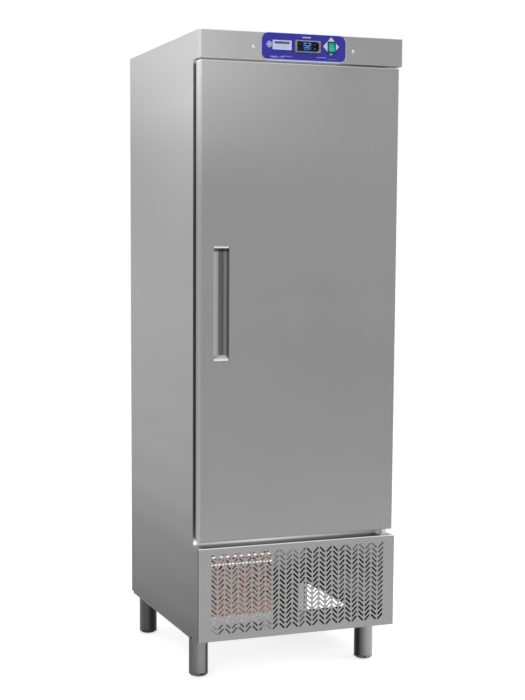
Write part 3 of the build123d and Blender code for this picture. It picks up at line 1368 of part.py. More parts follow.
def write_cabinet():
    save("left_side_panel", side_panel(LEFT, LEFT + SHEET))
    save("right_side_panel", side_panel(RIGHT - SHEET, RIGHT))
    save("top_panel", block(-INNER, INNER, PANEL_FRONT, INNER_BACK, TOP - SHEET, TOP))
    save("back_panel", block(-INNER, INNER, INNER_BACK, BACK, DECK, TOP))
    save("rear_vent_panel", rear_vent_panel())
    save("rear_spacers", *rear_spacers())
    save("cable_gland", cable_gland())
    save("front_frame", front_frame())
    save("inner_liner", inner_liner())
    save("insulation_foam", insulation_foam())
    save("lower_deck", lower_deck())
    save("grille_panel", grille_panel())
    save("floor_plates", *floor_plates())
    save("air_divider", air_divider())
    save("base_rails", *base_rails())
    save("legs", *[leg(x, y) for _, x, y in leg_places()])
    for name, x, y in leg_places():
        save(f"foot_{name}", foot(x, y))
    save("hinge_brackets", *hinge_brackets())
    save("hinge_screws", *hinge_screws())


def write_head():
    save("head_fascia", head_fascia())
    save("fascia_brackets", *[fascia_bracket(x) for x in (-SCREW_X, SCREW_X)])
    save("fascia_screws", *[fascia_screw(x) for x in (-SCREW_X, SCREW_X)])
    save("control_overlay", control_overlay())
    save("controller_case", controller_case())
    save("display_window", display_window())
    for number, (x, z) in enumerate(key_places(), start=1):
        save(f"key_{number}", key(x, z))
    save("rocker_frame", rocker_frame())
    save("rocker_button", rocker_button())


def write_machine():
    save("unit_base_plate", unit_base_plate())
    save("condenser_fins", condenser_fins())
    save("condenser_tube", condenser_tube())
    save("fan_shroud", fan_shroud())
    place = (UNIT_MIDDLE, CONDENSER_MIDDLE_Z, SHROUD_BACK)
    motor = fan_motor(*place, CONDENSER_FAN_RADIUS, CONDENSER_FAN_ARMS, CONDENSER_FIRST_ARM)
    save("condenser_fan_motor", motor)
    save("condenser_fan_blade", fan_blade(*place, CONDENSER_FAN_RADIUS))
    save("compressor_shell", compressor_shell())
    save("compressor_cradle", compressor_cradle())
    save("refrigerant_lines", *refrigerant_lines())


def write_storage():
    save("evaporator_cover", evaporator_cover())
    save("evaporator_coil", evaporator_coil())
    place = (0, EVAPORATOR_MIDDLE_Z, EVAPORATOR_Y0 + EVAPORATOR_SHEET)
    motor = fan_motor(*place, EVAPORATOR_FAN_RADIUS, EVAPORATOR_FAN_ARMS, EVAPORATOR_FIRST_ARM)
    save("evaporator_fan_motor", motor)
    save("evaporator_fan_blade", fan_blade(*place, EVAPORATOR_FAN_RADIUS))
    for index in range(SHELF_COUNT):
        save(f"shelf_{index + 1}", shelf(index))
    save("shelf_runners", *shelf_runners())


def write_door():
    save("door_skin", door_skin())
    save("door_frame", door_frame())
    save("door_inner_panel", door_inner_panel())
    save("door_foam", door_foam())
    save("door_gasket", door_gasket())
    save("handle_channel", handle_channel())
    save("handle_lip", handle_lip())
    save("handle_end_caps", *handle_end_caps())
    save("hinge_bushes", *bored_bushes())


os.makedirs("parts", exist_ok=True)
write_cabinet()
write_head()
write_machine()
write_storage()
write_door()
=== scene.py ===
# %% [markdown]
# # A commercial upright freezer, dressed for its picture
# The CAD program has already made the freezer's solids: the folded sheet, the door on its pins, the legs,
# the cooling machine behind the slotted grille. In this file Blender gives them their looks. We load the
# imported model first, because every later step is placed by it.

# %% Load the freezer
from math import pi, radians

import bmesh
import bpy
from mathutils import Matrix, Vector


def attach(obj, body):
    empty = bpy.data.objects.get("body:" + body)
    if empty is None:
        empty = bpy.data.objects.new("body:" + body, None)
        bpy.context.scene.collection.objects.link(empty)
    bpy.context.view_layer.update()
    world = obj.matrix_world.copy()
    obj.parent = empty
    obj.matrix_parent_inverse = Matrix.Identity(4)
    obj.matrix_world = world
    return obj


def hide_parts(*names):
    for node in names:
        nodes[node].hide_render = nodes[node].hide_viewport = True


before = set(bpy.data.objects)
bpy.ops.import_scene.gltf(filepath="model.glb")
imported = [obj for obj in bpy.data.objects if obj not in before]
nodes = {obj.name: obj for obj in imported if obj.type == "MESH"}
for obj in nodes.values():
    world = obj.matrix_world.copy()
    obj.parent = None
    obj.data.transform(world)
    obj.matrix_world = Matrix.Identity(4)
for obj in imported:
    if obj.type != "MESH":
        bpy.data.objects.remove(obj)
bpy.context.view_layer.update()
MM = 0.001

# %% [markdown]
# ## The camera
# The photograph is looked at from the left of the door, a little above the middle of the cabinet and turned
# slightly downwards. The place of a camera can be guessed, or solved from corners whose real distances are
# known. It was solved here from the cabinet's corners. The lens follows from the same sums, and the two
# shifts say that the picture was cropped from a wider one, which keeps upright edges as they are.

# %% Set up the camera
CAMERA_PLACE = (-1.5583, -3.7739, 1.2152)
CAMERA_TURN = 19.12
CAMERA_DIP = 6.0
IMAGE_WIDTH = 525
IMAGE_HEIGHT = 700
FOCAL_PIXELS = 1363.9
CENTRE_PIXEL = (178.99, 391.51)

camera_data = bpy.data.cameras.new("photo_camera")
camera = bpy.data.objects.new("photo_camera", camera_data)
bpy.context.scene.collection.objects.link(camera)
camera.location = CAMERA_PLACE
camera.rotation_euler = (radians(90 - CAMERA_DIP), 0, radians(-CAMERA_TURN))
camera_data.sensor_width = 36.0
camera_data.lens = FOCAL_PIXELS * camera_data.sensor_width / IMAGE_HEIGHT
camera_data.shift_x = (IMAGE_WIDTH / 2 - CENTRE_PIXEL[0]) / IMAGE_HEIGHT
camera_data.shift_y = (CENTRE_PIXEL[1] - IMAGE_HEIGHT / 2) / IMAGE_HEIGHT
bpy.context.scene.camera = camera
bpy.context.scene.view_settings.view_transform = "Standard"
print("lens:", round(camera_data.lens, 2), "mm")
print("shift:", round(camera_data.shift_x, 4), round(camera_data.shift_y, 4))

# %% [markdown]
# ## A small language for finishes
# A procedural finish is arithmetic on the place of a point: how high it is, how far from an edge, how much
# noise there. Nodes can be wired one by one, but long sums get hard to read. The class Wire holds one
# socket, and its signs + - * / < > add the Math nodes, so a mask reads like a formula. The class Shading
# holds the nodes of the world or of a material, and its one method node() makes any other node from its
# type, its settings and its inputs. The class Finish adds what a surface needs: its place, its noise, its
# masks and its shader.


# %% Define Wire
def sign(operation, turned=False):
    """A sign of Wire, which adds a Math node. Turned is for a number in front of the sign."""
    if turned:
        return lambda self, other: self.shading.maths(operation, other, self)
    return lambda self, other: self.shading.maths(operation, self, other)


class Wire:
    """The output of a node, with arithmetic."""

    def __init__(self, shading, socket):
        self.shading = shading
        self.socket = socket

    __add__, __radd__ = sign("ADD"), sign("ADD", turned=True)
    __sub__, __rsub__ = sign("SUBTRACT"), sign("SUBTRACT", turned=True)
    __mul__, __rmul__ = sign("MULTIPLY"), sign("MULTIPLY", turned=True)
    __truediv__, __rtruediv__ = sign("DIVIDE"), sign("DIVIDE", turned=True)
    __lt__, __gt__ = sign("LESS_THAN"), sign("GREATER_THAN")

    def __abs__(self):
        return self.shading.maths("ABSOLUTE", self)


# %% Define Shading
class Shading:
    """The nodes of the world or of one material."""

    def __init__(self, tree):
        self.tree = tree

    def node(self, kind, settings=None, values=None):
        """Any node, its settings first and then its inputs, as numbers or as wires."""
        made = self.tree.nodes.new(kind)
        for key, value in (settings or {}).items():
            if key == "stops":
                self.set_stops(made.color_ramp, value)
            else:
                setattr(made, key, value)
        for key, value in (values or {}).items():
            if isinstance(value, Wire):
                self.tree.links.new(value.socket, made.inputs[key])
            else:
                made.inputs[key].default_value = value
        return made

    def set_stops(self, ramp, stops):
        ramp.interpolation = "EASE"
        while len(ramp.elements) < len(stops):
            ramp.elements.new(0.5)
        for element, (position, colour) in zip(ramp.elements, stops):
            element.position = position
            shades = colour if isinstance(colour, tuple) else (colour, colour, colour)
            element.color = (*shades, 1.0)

    def wire(self, node, output=0):
        return Wire(self, node.outputs[output])

    def maths(self, operation, *values):
        return self.wire(self.node("ShaderNodeMath", {"operation": operation}, dict(enumerate(values))))

    def ramp(self, factor, stops):
        return self.wire(self.node("ShaderNodeValToRGB", {"stops": stops}, {0: factor}))

    def mix(self, factor, first, second):
        """Second colour over the first, by a factor."""
        colours = [c if isinstance(c, Wire) else (*c, 1.0) for c in (first, second)]
        values = {0: factor, 6: colours[0], 7: colours[1]}
        return self.wire(self.node("ShaderNodeMix", {"data_type": "RGBA"}, values), 2)

    def clamp(self, value):
        return self.maths("MINIMUM", self.maths("MAXIMUM", value, 0.0), 1.0)

    def show(self, shader, output):
        """Sends a shader node to the surface of the output node."""
        self.tree.links.new(shader.outputs[0], self.tree.nodes[output].inputs["Surface"])


# %% Define Finish
class Finish(Shading):
    """A material on the standard Principled shader."""

    def __init__(self, name, **constants):
        self.material = bpy.data.materials.new(name)
        self.material.use_nodes = True
        super().__init__(self.material.node_tree)
        self.shader = self.tree.nodes["Principled BSDF"]
        for socket, value in constants.items():
            self.shader.inputs[socket.replace("_", " ")].default_value = value
        coordinates = self.node("ShaderNodeTexCoord")
        self.place = self.wire(coordinates, "Object")
        parts = self.node("ShaderNodeSeparateXYZ", {}, {0: self.place})
        self.x, self.y, self.z = (self.wire(parts, axis) for axis in "XYZ")
        print("finish:", name)

    def stretched(self, per_metre):
        """The place times a count of features per metre, one for all axes or three for X, Y and Z."""
        counts = per_metre if isinstance(per_metre, tuple) else (per_metre, per_metre, per_metre)
        values = {0: self.place, 1: counts}
        return self.wire(self.node("ShaderNodeVectorMath", {"operation": "MULTIPLY"}, values))

    def noise(self, per_metre, detail=2.0):
        """Noise about 0.5."""
        values = {"Vector": self.stretched(per_metre), "Scale": 1.0, "Detail": detail}
        return self.wire(self.node("ShaderNodeTexNoise", {}, values))

    def patches(self):
        """The soft patches that moulded and painted parts share."""
        return self.noise(22.0, detail=4.0)

    def cells(self, per_metre):
        """Random grey for each cell of a Voronoi pattern."""
        cell = self.node("ShaderNodeTexVoronoi", {}, {"Vector": self.stretched(per_metre), "Scale": 1.0})
        return self.wire(self.node("ShaderNodeSeparateColor", {}, {0: self.wire(cell, "Color")}))

    def bump(self, height, depth, strength=1.0):
        """Fine relief, whose depth is in millimetres."""
        values = {"Strength": strength, "Distance": depth * MM, "Height": height}
        self.feed("Normal", self.wire(self.node("ShaderNodeBump", {}, values), "Normal"))

    def feed(self, socket, value):
        self.tree.links.new(value.socket, self.shader.inputs[socket])

    def near(self, coordinate, middle, reach):
        """1 at the middle and 0 from the reach on, in a straight slope, in millimetres."""
        slope = 1 - abs(coordinate - middle * MM) / (reach * MM)
        return self.maths("MAXIMUM", slope, 0.0)

    def only_near(self, amount, places):
        """The amount, where it is near each of the places. A place is an axis, a middle and a reach."""
        for axis, middle, reach in places:
            amount = amount * self.near(getattr(self, axis), middle, reach)
        return amount

    def past(self, coordinate, start, width):
        """0 up to the start and 1 a width past it, in millimetres. A width below zero counts downwards."""
        return self.clamp((coordinate - start * MM) / (width * MM))

# %% [markdown]
# ## The studio
# A catalogue picture of an appliance is taken in a white room with large soft lamps, so that the steel
# shows wide, gentle steps of grey and no hard spots. The world gives an even light, four big area lamps
# give the direction, and the floor is nearly white. Where the camera, a mirror-like surface or glass looks
# at the world, it sees plain white, and everything else keeps the dimmer, even light.

# %% Light the world
scene = bpy.context.scene
world = bpy.data.worlds.new("white_room")
world.use_nodes = True
scene.world = world
AMBIENT = 0.50
WHITE = (1.0, 1.0, 1.0, 1.0)


def white_to_sight(shading, plain, white):
    """A shader that is the white one for camera, glossy and transmission rays, and else the plain one."""
    path = shading.node("ShaderNodeLightPath")
    seen = shading.wire(path, "Is Camera Ray")
    for ray in ("Is Glossy Ray", "Is Transmission Ray"):
        seen = shading.maths("MAXIMUM", seen, shading.wire(path, ray))
    return shading.node("ShaderNodeMixShader", {}, {0: seen, 1: shading.wire(plain), 2: shading.wire(white)})


room = Shading(world.node_tree)
ambient = world.node_tree.nodes["Background"]
ambient.inputs["Color"].default_value = WHITE
ambient.inputs["Strength"].default_value = AMBIENT
backdrop = room.node("ShaderNodeBackground", {}, {"Color": WHITE, "Strength": 1.0})
room.show(white_to_sight(room, ambient, backdrop), "World Output")
print("world:", AMBIENT, "for shading, 1.0 where it is seen")


# %% Hang the soft lamps
def hang_lamp(name, place, aim, size, watts):
    """A square area lamp that faces a point of the cabinet."""
    lamp_data = bpy.data.lights.new(name, "AREA")
    lamp_data.size = size
    lamp_data.energy = watts
    lamp = bpy.data.objects.new(name, lamp_data)
    scene.collection.objects.link(lamp)
    lamp.location = place
    lamp.rotation_euler = (Vector(aim) - Vector(place)).to_track_quat("-Z", "Y").to_euler()


LAMPS = {
    "lamp_front_left": {"place": (-2.6, -4.2, 3.2), "aim": (0, 0, 0.9), "size": 2.4, "watts": 70},
    "lamp_right": {"place": (4.2, -1.5, 2.4), "aim": (0, 0, 0.9), "size": 2.4, "watts": 30},
    "lamp_behind_left": {"place": (-1.7, 3.2, 2.7), "aim": (0, 0.2, 1.5), "size": 1.6, "watts": 7},
    "lamp_above": {"place": (0.3, -0.6, 4.4), "aim": (0, 0, 1.0), "size": 2.8, "watts": 45},
}
for name, settings in LAMPS.items():
    hang_lamp(name, **settings)

# %% [markdown]
# ## The floor
# A floor can be a plane, but its far edge would show against the white world. A wide disc whose colour is
# as white as the world melts into it. It still takes the cabinet's shadow, because a good part of its
# brightness comes from the lamps and the world. A glow, for sight alone, lifts the rest to white.

# %% Lay the floor
FLOOR_RADIUS = 14.0
FLOOR_HEIGHT = -0.0005
FLOOR_GREY = (0.82, 0.82, 0.82, 1.0)
FLOOR_GLOW = 0.62
bpy.ops.object.select_all(action="DESELECT")
bpy.ops.mesh.primitive_circle_add(
    vertices=96, radius=FLOOR_RADIUS, fill_type="NGON", location=(0, 0, FLOOR_HEIGHT)
)
floor = bpy.context.object
floor.name = "studio_floor"
paint = Finish("studio_floor_paint", Base_Color=FLOOR_GREY, Roughness=1.0, Specular_IOR_Level=0.0)
glow = paint.node("ShaderNodeEmission", {}, {"Strength": FLOOR_GLOW})
lifted = paint.node("ShaderNodeAddShader", {}, {0: paint.wire(paint.shader), 1: paint.wire(glow)})
paint.show(white_to_sight(paint, paint.shader, lifted), "Material Output")
floor.data.materials.append(paint.material)
print("floor laid, radius", FLOOR_RADIUS, "m")

# %% [markdown]
# ## Stainless steel sheet
# The cabinet's skin is fine-ground stainless steel. Such sheet has very fine lines along the direction in
# which it was ground, a soft wide gloss and faint clouds from handling. Its bends are made a little lighter
# as a painted highlight, and glints of painted highlight can be laid where a lamp would catch an edge. A
# picture of noise could be used, but noise that is computed has no edge and no scale limit. The lines are
# noise squeezed across the grain. The tone is given as a few steps of grey from one end of the panel to the
# other, eased between them, as painted light and shade from its lamps.


# %% Define the steel sheet
ACROSS_GRAIN = 1400.0
ALONG_GRAIN = 9.0
CLOUDS_PER_METRE = (3.1, 3.1, 2.2)
BEND_REACH = 2.2


def steel_sheet(
    name, tone_of, grain="Z", roughness=0.36, edges=(), glints=(), print_over=None, **constants
):
    """Ground sheet whose tone is a formula of the place.

    Edges are an axis, a place and how much they shine, as a painted highlight. Glints are painted highlights,
    a light and the places near which it shows.
    """
    steel = Finish(name, Metallic=1.0, **constants)
    lines = steel.noise(tuple(ALONG_GRAIN if axis == grain else ACROSS_GRAIN for axis in "XYZ"), detail=1.0)
    clouds = steel.noise(CLOUDS_PER_METRE, detail=3.0)
    tone = tone_of(steel) * (0.97 + 0.06 * lines) * (0.955 + 0.09 * clouds)
    for axis, middle, lift in edges:
        tone = tone * (1 + lift * steel.near(getattr(steel, axis), middle, BEND_REACH))
    if print_over:
        tone = print_over(steel, tone)
    if glints:
        steel.shader.inputs["Emission Strength"].default_value = 1.0
        lights = [steel.only_near(amount, places) for amount, places in glints]
        steel.feed("Emission Color", sum(lights[1:], lights[0]))
    steel.feed("Base Color", tone)
    steel.feed("Roughness", roughness - 0.05 + 0.06 * lines + 0.04 * clouds)
    steel.bump(lines, 0.02, 0.25)
    return steel.material


def steps(axis, stops):
    """Tone that eases through steps along one axis. A step is a place in millimetres and a grey."""
    low = stops[0][0]
    high = stops[-1][0]
    shares = [((place - low) / (high - low), grey) for place, grey in stops]

    def tone_of(steel):
        share = (getattr(steel, axis) - low * MM) / ((high - low) * MM)
        return steel.ramp(share, shares)

    return tone_of


def lit_corner(tone_of, lift, corner):
    """The same tone, with painted light near the places of one corner."""
    return lambda steel: tone_of(steel) * (1 + steel.only_near(lift, corner))


def even(grey):
    """Tone that is the same all over, apart from very wide clouds."""
    return lambda steel: steel.noise((1.2, 1.2, 0.8)) * 0.02 + (grey - 0.01)


# %% Name the cabinet's lines
BOTTOM = 127.0
DECK_TOP = 389.5
DOOR_TOP = 1714.0
HEAD_BOTTOM = 1718.0
LEFT, RIGHT = -300.0, 300.0
DOOR_LEFT, DOOR_RIGHT = -295.0, 295.0
FRONT, BACK = -315.0, 315.0
FRAME_FACE = -260.0
print("cabinet:", RIGHT - LEFT, "wide,", BACK - FRONT, "deep, on legs of", BOTTOM)

# %% Paint the sides and the door
# The sides are painted darker towards the bottom and the door lighter towards the top, each lighter still at
# an upper corner: painted light and shade. The door's side bends and top bend carry painted highlights, and
# the right side's inner face has painted light where the grille's slots would let light in.
SIDE_STEPS = [
    (127, 0.038), (209, 0.072), (353, 0.110), (435, 0.158), (510, 0.204), (655, 0.247), (794, 0.276),
    (1072, 0.318), (1210, 0.316), (1400, 0.302), (1480, 0.294), (1600, 0.300), (1674, 0.294), (1793, 0.315),
]
DOOR_STEPS = [
    (408, 0.256), (527, 0.249), (655, 0.245), (930, 0.247), (1072, 0.256), (1210, 0.264), (1347, 0.266),
    (1450, 0.270), (1530, 0.280), (1714, 0.290),
]
BEND_SHINE = 0.12
side_tone = lit_corner(steps("z", SIDE_STEPS), 0.38, [("z", 1620, 420), ("y", FRONT, 600)])
door_tone = lit_corner(steps("z", DOOR_STEPS), 0.58, [("z", DOOR_TOP, 330), ("x", LEFT, 430)])
painted_light_inside_right_side = [(0.30, [("x", RIGHT - 1.2, 1.1), ("z", 340, 70), ("y", -60, 280)])]
side_steel = steel_sheet("side_sheet", side_tone, glints=painted_light_inside_right_side)
door_edges = [("x", DOOR_LEFT, BEND_SHINE), ("x", DOOR_RIGHT, BEND_SHINE)]
door_glints = [(0.5, [("z", DOOR_TOP - 0.5, 3.0)])]
door_steel = steel_sheet("door_sheet", door_tone, edges=door_edges, glints=door_glints)


# %% Paint the grille, the top and the deck
def grille_tone(steel):
    """Even on the face, with painted shade on the flange that lies under the door."""
    return even(0.265)(steel) * (1 - 0.85 * steel.past(steel.y, FRONT + 2.5, 1.0))


# The grille's left bend and the top of its face carry painted highlights.
grille_edges = [("x", LEFT, BEND_SHINE)]
grille_glints = [(0.9, [("z", DECK_TOP, 1.2), ("y", FRONT + 6.5, 8.5)])]
grille_steel = steel_sheet("grille_sheet", grille_tone, grain="X", edges=grille_edges, glints=grille_glints)
top_steel = steel_sheet("top_sheet", even(0.40), grain="X")
# The deck is painted dark at its front, as shade under the door, and lighter further back as painted light;
# its two ends carry painted highlights.
deck_tone = steps("y", [(-315, 0.01), (-290, 0.02), (-272, 0.07), (-260, 0.20)])
deck_ends = ("z", DECK_TOP - 0.5, 10)
deck_glints = [(0.22, [("x", LEFT, 20), deck_ends]), (0.25, [("x", RIGHT, 40), deck_ends])]
deck_steel = steel_sheet(
    "deck_sheet", deck_tone, grain="X", roughness=0.28, glints=deck_glints,
    Specular_Tint=(0.85, 0.85, 0.85, 1.0)
)

# %% Paint the front frame, the hinge brackets and the inside
# The front frame is painted dark in the middle of its height, as shade in the seams beside the door, and
# lighter near its bottom and top as painted light. Its glints are painted highlights at its lower and upper
# left corners and along its lower strip.
frame_glints = [
    (1.1, [("x", -293, 9), ("z", 399, 8)]), (0.5, [("x", LEFT, 12), ("z", DOOR_TOP + 2, 12)]),
    (0.60, [("z", DECK_TOP + 4.5, 7), ("y", FRAME_FACE, 2), ("x", -100, 420)]),
]
frame_tone = steps("z", [(389, 0.46), (440, 0.26), (480, 0.18), (1300, 0.19), (1560, 0.27), (1718, 0.34)])
frame_steel = steel_sheet("frame_sheet", frame_tone, roughness=0.30, glints=frame_glints)
# The hinge brackets carry a painted highlight near the frame's face.
hinge_glints = [(0.2, [("y", FRAME_FACE - 18, 26)])]
hinge_steel = steel_sheet("fitting_sheet", even(0.42), roughness=0.30, glints=hinge_glints)
inner_steel = steel_sheet("liner_sheet", even(0.46), roughness=0.30)

# %% [markdown]
# ## Steel that is shaded by its place
# Some steel parts sit where they see more dark than light. The walls of the handle's channel see each
# other, and a leg sees the dark underside of the cabinet and its own neighbours. Full light tracing gives
# part of that. The rest is painted in as shade and light: darker on the channel's far wall and towards the
# rear legs, and lighter or darker across each leg.

# %% Paint the handle
CHANNEL_WALL = -213.2
LIP_EDGE = -230.0
CHANNEL_STEPS = [
    (-257, 0.30), (-236, 0.26), (-231, 0.12), (-225, 0.13), (-220, 0.15), (-216.5, 0.36), (-213, 0.42),
]
WALL_STEPS = [(-306, 0.0), (-294, 0.0), (-279, 0.22)]


def channel_tone(steel):
    """Painted shade in the channel: a dark floor with a lighter strip near the far wall, which is darker
    towards the door's face.
    """
    wall = steel.past(steel.x, CHANNEL_WALL, 0.6)
    front = steel.past(steel.y, -303.5, -1.5) * (steel.x < LIP_EDGE * MM)
    walled = steps("x", CHANNEL_STEPS)(steel) * (1 - wall) + steps("y", WALL_STEPS)(steel) * wall
    return walled * (1 - front) + 0.34 * front


handle_steel = steel_sheet("handle_sheet", channel_tone, roughness=0.30)
# The lip steps down in tone from its outer edge, as a painted reflection.
lip_steel = steel_sheet("lip_sheet", steps("x", [(-256, 0.37), (-250, 0.31), (-244, 0.29)]), roughness=0.30)

# %% Paint the legs
LEG_X = 261.5
LEG_RADIUS = 27.5
PLATE_SHADE_START = 112.0
PLATE_SHADE = 6.0
# Each table paints light and shade across one tube, from its left side to its right.
FRONT_LEFT_LEG = [
    (-27.5, 0.05), (-25, 0.11), (-18.5, 0.125), (-13.6, 0.14), (-11, 0.165), (-5.4, 0.20), (10.7, 0.20),
    (12.5, 0.14), (14.6, 0.05), (18.9, 0.0), (27.5, 0.0),
]
FRONT_RIGHT_LEG = [
    (-27.5, 0.02), (-24.7, 0.016), (-23, 0.022), (-21, 0.042), (-18.9, 0.07), (-14.2, 0.115), (-11.6, 0.14),
    (-6, 0.20), (0.2, 0.25), (7.3, 0.28), (15.8, 0.32), (27.5, 0.36),
]
REAR_LEG = [
    (-27.5, 0.09), (-22.5, 0.075), (-15.8, 0.066), (-8.4, 0.058), (-1.3, 0.026), (6, 0.018), (27.5, 0.05),
]


def by_leg(finish, tables):
    """Tone across each leg or foot, from tables for the front left, the front right and the rear ones."""
    on_right = finish.x > 0.0
    across = finish.x - (2 * on_right - 1) * (LEG_X * MM)
    share = (across + LEG_RADIUS * MM) / (2 * LEG_RADIUS * MM)
    tones = []
    for table in tables:
        stops = [((place + LEG_RADIUS) / (2 * LEG_RADIUS), grey) for place, grey in table]
        tones.append(finish.ramp(share, stops))
    front = tones[0] * (1 - on_right) + tones[1] * on_right
    rear = finish.y > 0.0
    return front * (1 - rear) + tones[2] * rear


def leg_tone(steel):
    """Painted light and shade across each tube, by what it stands next to, darkest where the plate meets the
    cabinet.
    """
    under_plate = steel.past(steel.z, PLATE_SHADE_START, PLATE_SHADE)
    return by_leg(steel, (FRONT_LEFT_LEG, FRONT_RIGHT_LEG, REAR_LEG)) * (1 - 0.85 * under_plate)


leg_tube_steel = steel_sheet("leg_tube_steel", leg_tone, roughness=0.25)

# %% [markdown]
# ## The other finishes
# Zinc-coated sheet has crystals, which are cells of slightly different greys. Moulded plastic and paint
# have a soft gloss and a fine orange-peel skin, and rubber is a duller kind of the same. Copper goes darker
# in patches. Each of the three gets one function, so that pieces of one kind share their looks and differ
# only in colour.


# %% Define zinc, moulded parts and copper
def zinc_sheet(name, grey, glow=0.0, places=()):
    """Zinc with crystals. A glow is painted light from the room, and the places limit where it shows."""
    zinc = Finish(name, Metallic=1.0, Emission_Strength=1.0)
    crystals = zinc.cells(85.0)
    dust = zinc.noise(14.0, detail=4.0)
    tone = grey * (0.82 + 0.26 * crystals) * (0.9 + 0.2 * dust)
    zinc.feed("Base Color", tone)
    zinc.feed("Emission Color", zinc.only_near(tone * glow, places))
    zinc.feed("Roughness", 0.34 + 0.16 * crystals)
    return zinc.material


SKIN_PER_METRE = 900.0


def moulded(name, colour, roughness, peel=0.03, coat=0.0, patches=0.12, shine=0.5):
    """Plastic or paint: a colour with faint patches and a fine skin."""
    plastic = Finish(name, Coat_Weight=coat, Coat_Roughness=0.08, Specular_IOR_Level=shine)
    patch = plastic.patches()
    dark = tuple(c * (1 - patches) for c in colour)
    light = tuple(min(1.0, c * (1 + patches)) for c in colour)
    plastic.feed("Base Color", plastic.mix(patch, dark, light))
    plastic.feed("Roughness", roughness - 0.04 + 0.08 * patch)
    plastic.bump(plastic.noise(SKIN_PER_METRE), peel, 0.5)
    return plastic.material


def copper(name, colour, tarnish, roughness):
    """Bare copper with darker, duller patches."""
    metal = Finish(name, Metallic=1.0)
    patch = metal.noise((46.0, 46.0, 30.0), detail=4.0)
    metal.feed("Base Color", metal.mix(metal.ramp(patch, [(0.35, 0.0), (0.7, 1.0)]), colour, tarnish))
    metal.feed("Roughness", roughness + 0.18 * patch)
    return metal.material


# %% Mix the plain finishes
zinc = zinc_sheet("zinc_sheet", 0.50)
# The vent zinc has painted light low on its inner face, and the lit zinc glows with painted light.
vent_zinc = zinc_sheet("vent_zinc", 0.50, 0.6, [("z", 240, 75), ("y", BACK - 1.1, 0.9)])
lit_zinc = zinc_sheet("lit_zinc", 0.60, 1.6)
hard_foam = moulded("hard_foam", (0.88, 0.80, 0.52), 0.9, peel=0.35, patches=0.06)
# The rail zinc is painted dark as shade under the cabinet, and the base zinc glows faintly with painted
# light.
rail_zinc = zinc_sheet("rail_zinc", 0.10)
base_zinc = zinc_sheet("base_zinc", 0.62, 0.30)
controller_plastic = moulded("controller_plastic", (0.22, 0.23, 0.24), 0.42, shine=0.3)
switch_plastic = moulded("switch_plastic", (0.010, 0.050, 0.050), 0.32, shine=0.25)
key_plastic = moulded("key_plastic", (0.010, 0.012, 0.016), 0.30, shine=0.15)
dark_rubber = moulded("dark_rubber", (0.035, 0.035, 0.037), 0.72, peel=0.08)
gland_plastic = moulded("gland_plastic", (0.02, 0.02, 0.02), 0.45)
gasket_rubber = moulded("gasket_rubber", (0.10, 0.10, 0.105), 0.62, peel=0.06)
white_plastic = moulded("white_plastic", (0.80, 0.81, 0.82), 0.40)
nylon = moulded("nylon", (0.78, 0.78, 0.74), 0.46)
black_paint = moulded("black_paint", (0.018, 0.018, 0.02), 0.36, peel=0.06)
shelf_coating = moulded("shelf_coating", (0.72, 0.73, 0.74), 0.33)
fan_blade_metal = zinc_sheet("fan_blade_metal", 0.55)
motor_metal = zinc_sheet("motor_metal", 0.48)
coil_metal = zinc_sheet("coil_metal", 0.66)
screw_metal = copper("screw_metal", (0.62, 0.62, 0.63), (0.38, 0.38, 0.39), 0.24)
tube_copper = copper("tube_copper", (0.94, 0.55, 0.40), (0.62, 0.30, 0.20), 0.18)

# %% [markdown]
# ## Plastic that is shaded by its place
# The feet, the strip of the air divider and the handle's caps are small, and what is left and right of them
# decides how light they look. Lamps small enough for that would spoil the steel, so light and shade are
# painted into these finishes' tone: the feet by their facets, the strip by its front and back, the upper cap
# under its rim.

# %% Paint the feet
FLOOR_SHADE_HEIGHT = 4.5
FRONT_LEFT_FOOT = [(-27.5, 0.045), (-25, 0.05), (-24, 0.13), (-7, 0.14), (-4, 0.05), (27.5, 0.04)]
FRONT_RIGHT_FOOT = [
    (-27.5, 0.018), (-24.5, 0.02), (-23, 0.10), (-10, 0.13), (-7, 0.08), (-3, 0.08), (-1, 0.30), (27.5, 0.34),
]
REAR_FOOT = [(-27.5, 0.09), (-25.5, 0.07), (-24, 0.035), (27.5, 0.025)]


def foot_finish():
    """Dark plastic with painted light and shade on its facets, and painted shade next to the floor."""
    foot = Finish("foot_plastic", Specular_IOR_Level=0.2)
    patch = foot.patches()
    near_floor = foot.past(foot.z, FLOOR_SHADE_HEIGHT, -2.0)
    tone = by_leg(foot, (FRONT_LEFT_FOOT, FRONT_RIGHT_FOOT, REAR_FOOT))
    foot.feed("Base Color", tone * (0.9 + 0.2 * patch) * (1 - 0.6 * near_floor))
    foot.feed("Roughness", 0.34 + 0.08 * patch)
    foot.bump(foot.noise(SKIN_PER_METRE), 0.03, 0.5)
    return foot.material


foot_plastic = foot_finish()


# %% Paint the air divider
DIVIDER_FLANGE_BACK = -89.2
NO_LIGHT = (0.0, 0.0, 0.0)


def divider_finish():
    """Grey-green paint with painted light on its front flange and painted shade behind it."""
    paint = Finish("divider_paint", Emission_Strength=1.0)
    patch = paint.patches()
    colour = paint.mix(patch, (0.50, 0.56, 0.52), (0.62, 0.68, 0.63))
    behind = paint.past(paint.y, DIVIDER_FLANGE_BACK, 0.4)
    paint.feed("Base Color", paint.mix(behind * 0.7, colour, (0.10, 0.11, 0.10)))
    paint.feed("Emission Color", paint.mix(behind, paint.mix(0.45, colour, NO_LIGHT), NO_LIGHT))
    paint.feed("Roughness", 0.42 + 0.08 * patch)
    return paint.material


divider_paint = divider_finish()


# %% Paint the handle's end caps
UPPER_CAP_RIM = 1215.6
UPPER_CAP_START = 1150.0
CAP_PAINTED_SHADE = [(-257, 0.10), (-244, 0.02), (-238, 0.05), (-226, 0.025), (-219, 0.07), (-213, 0.02)]


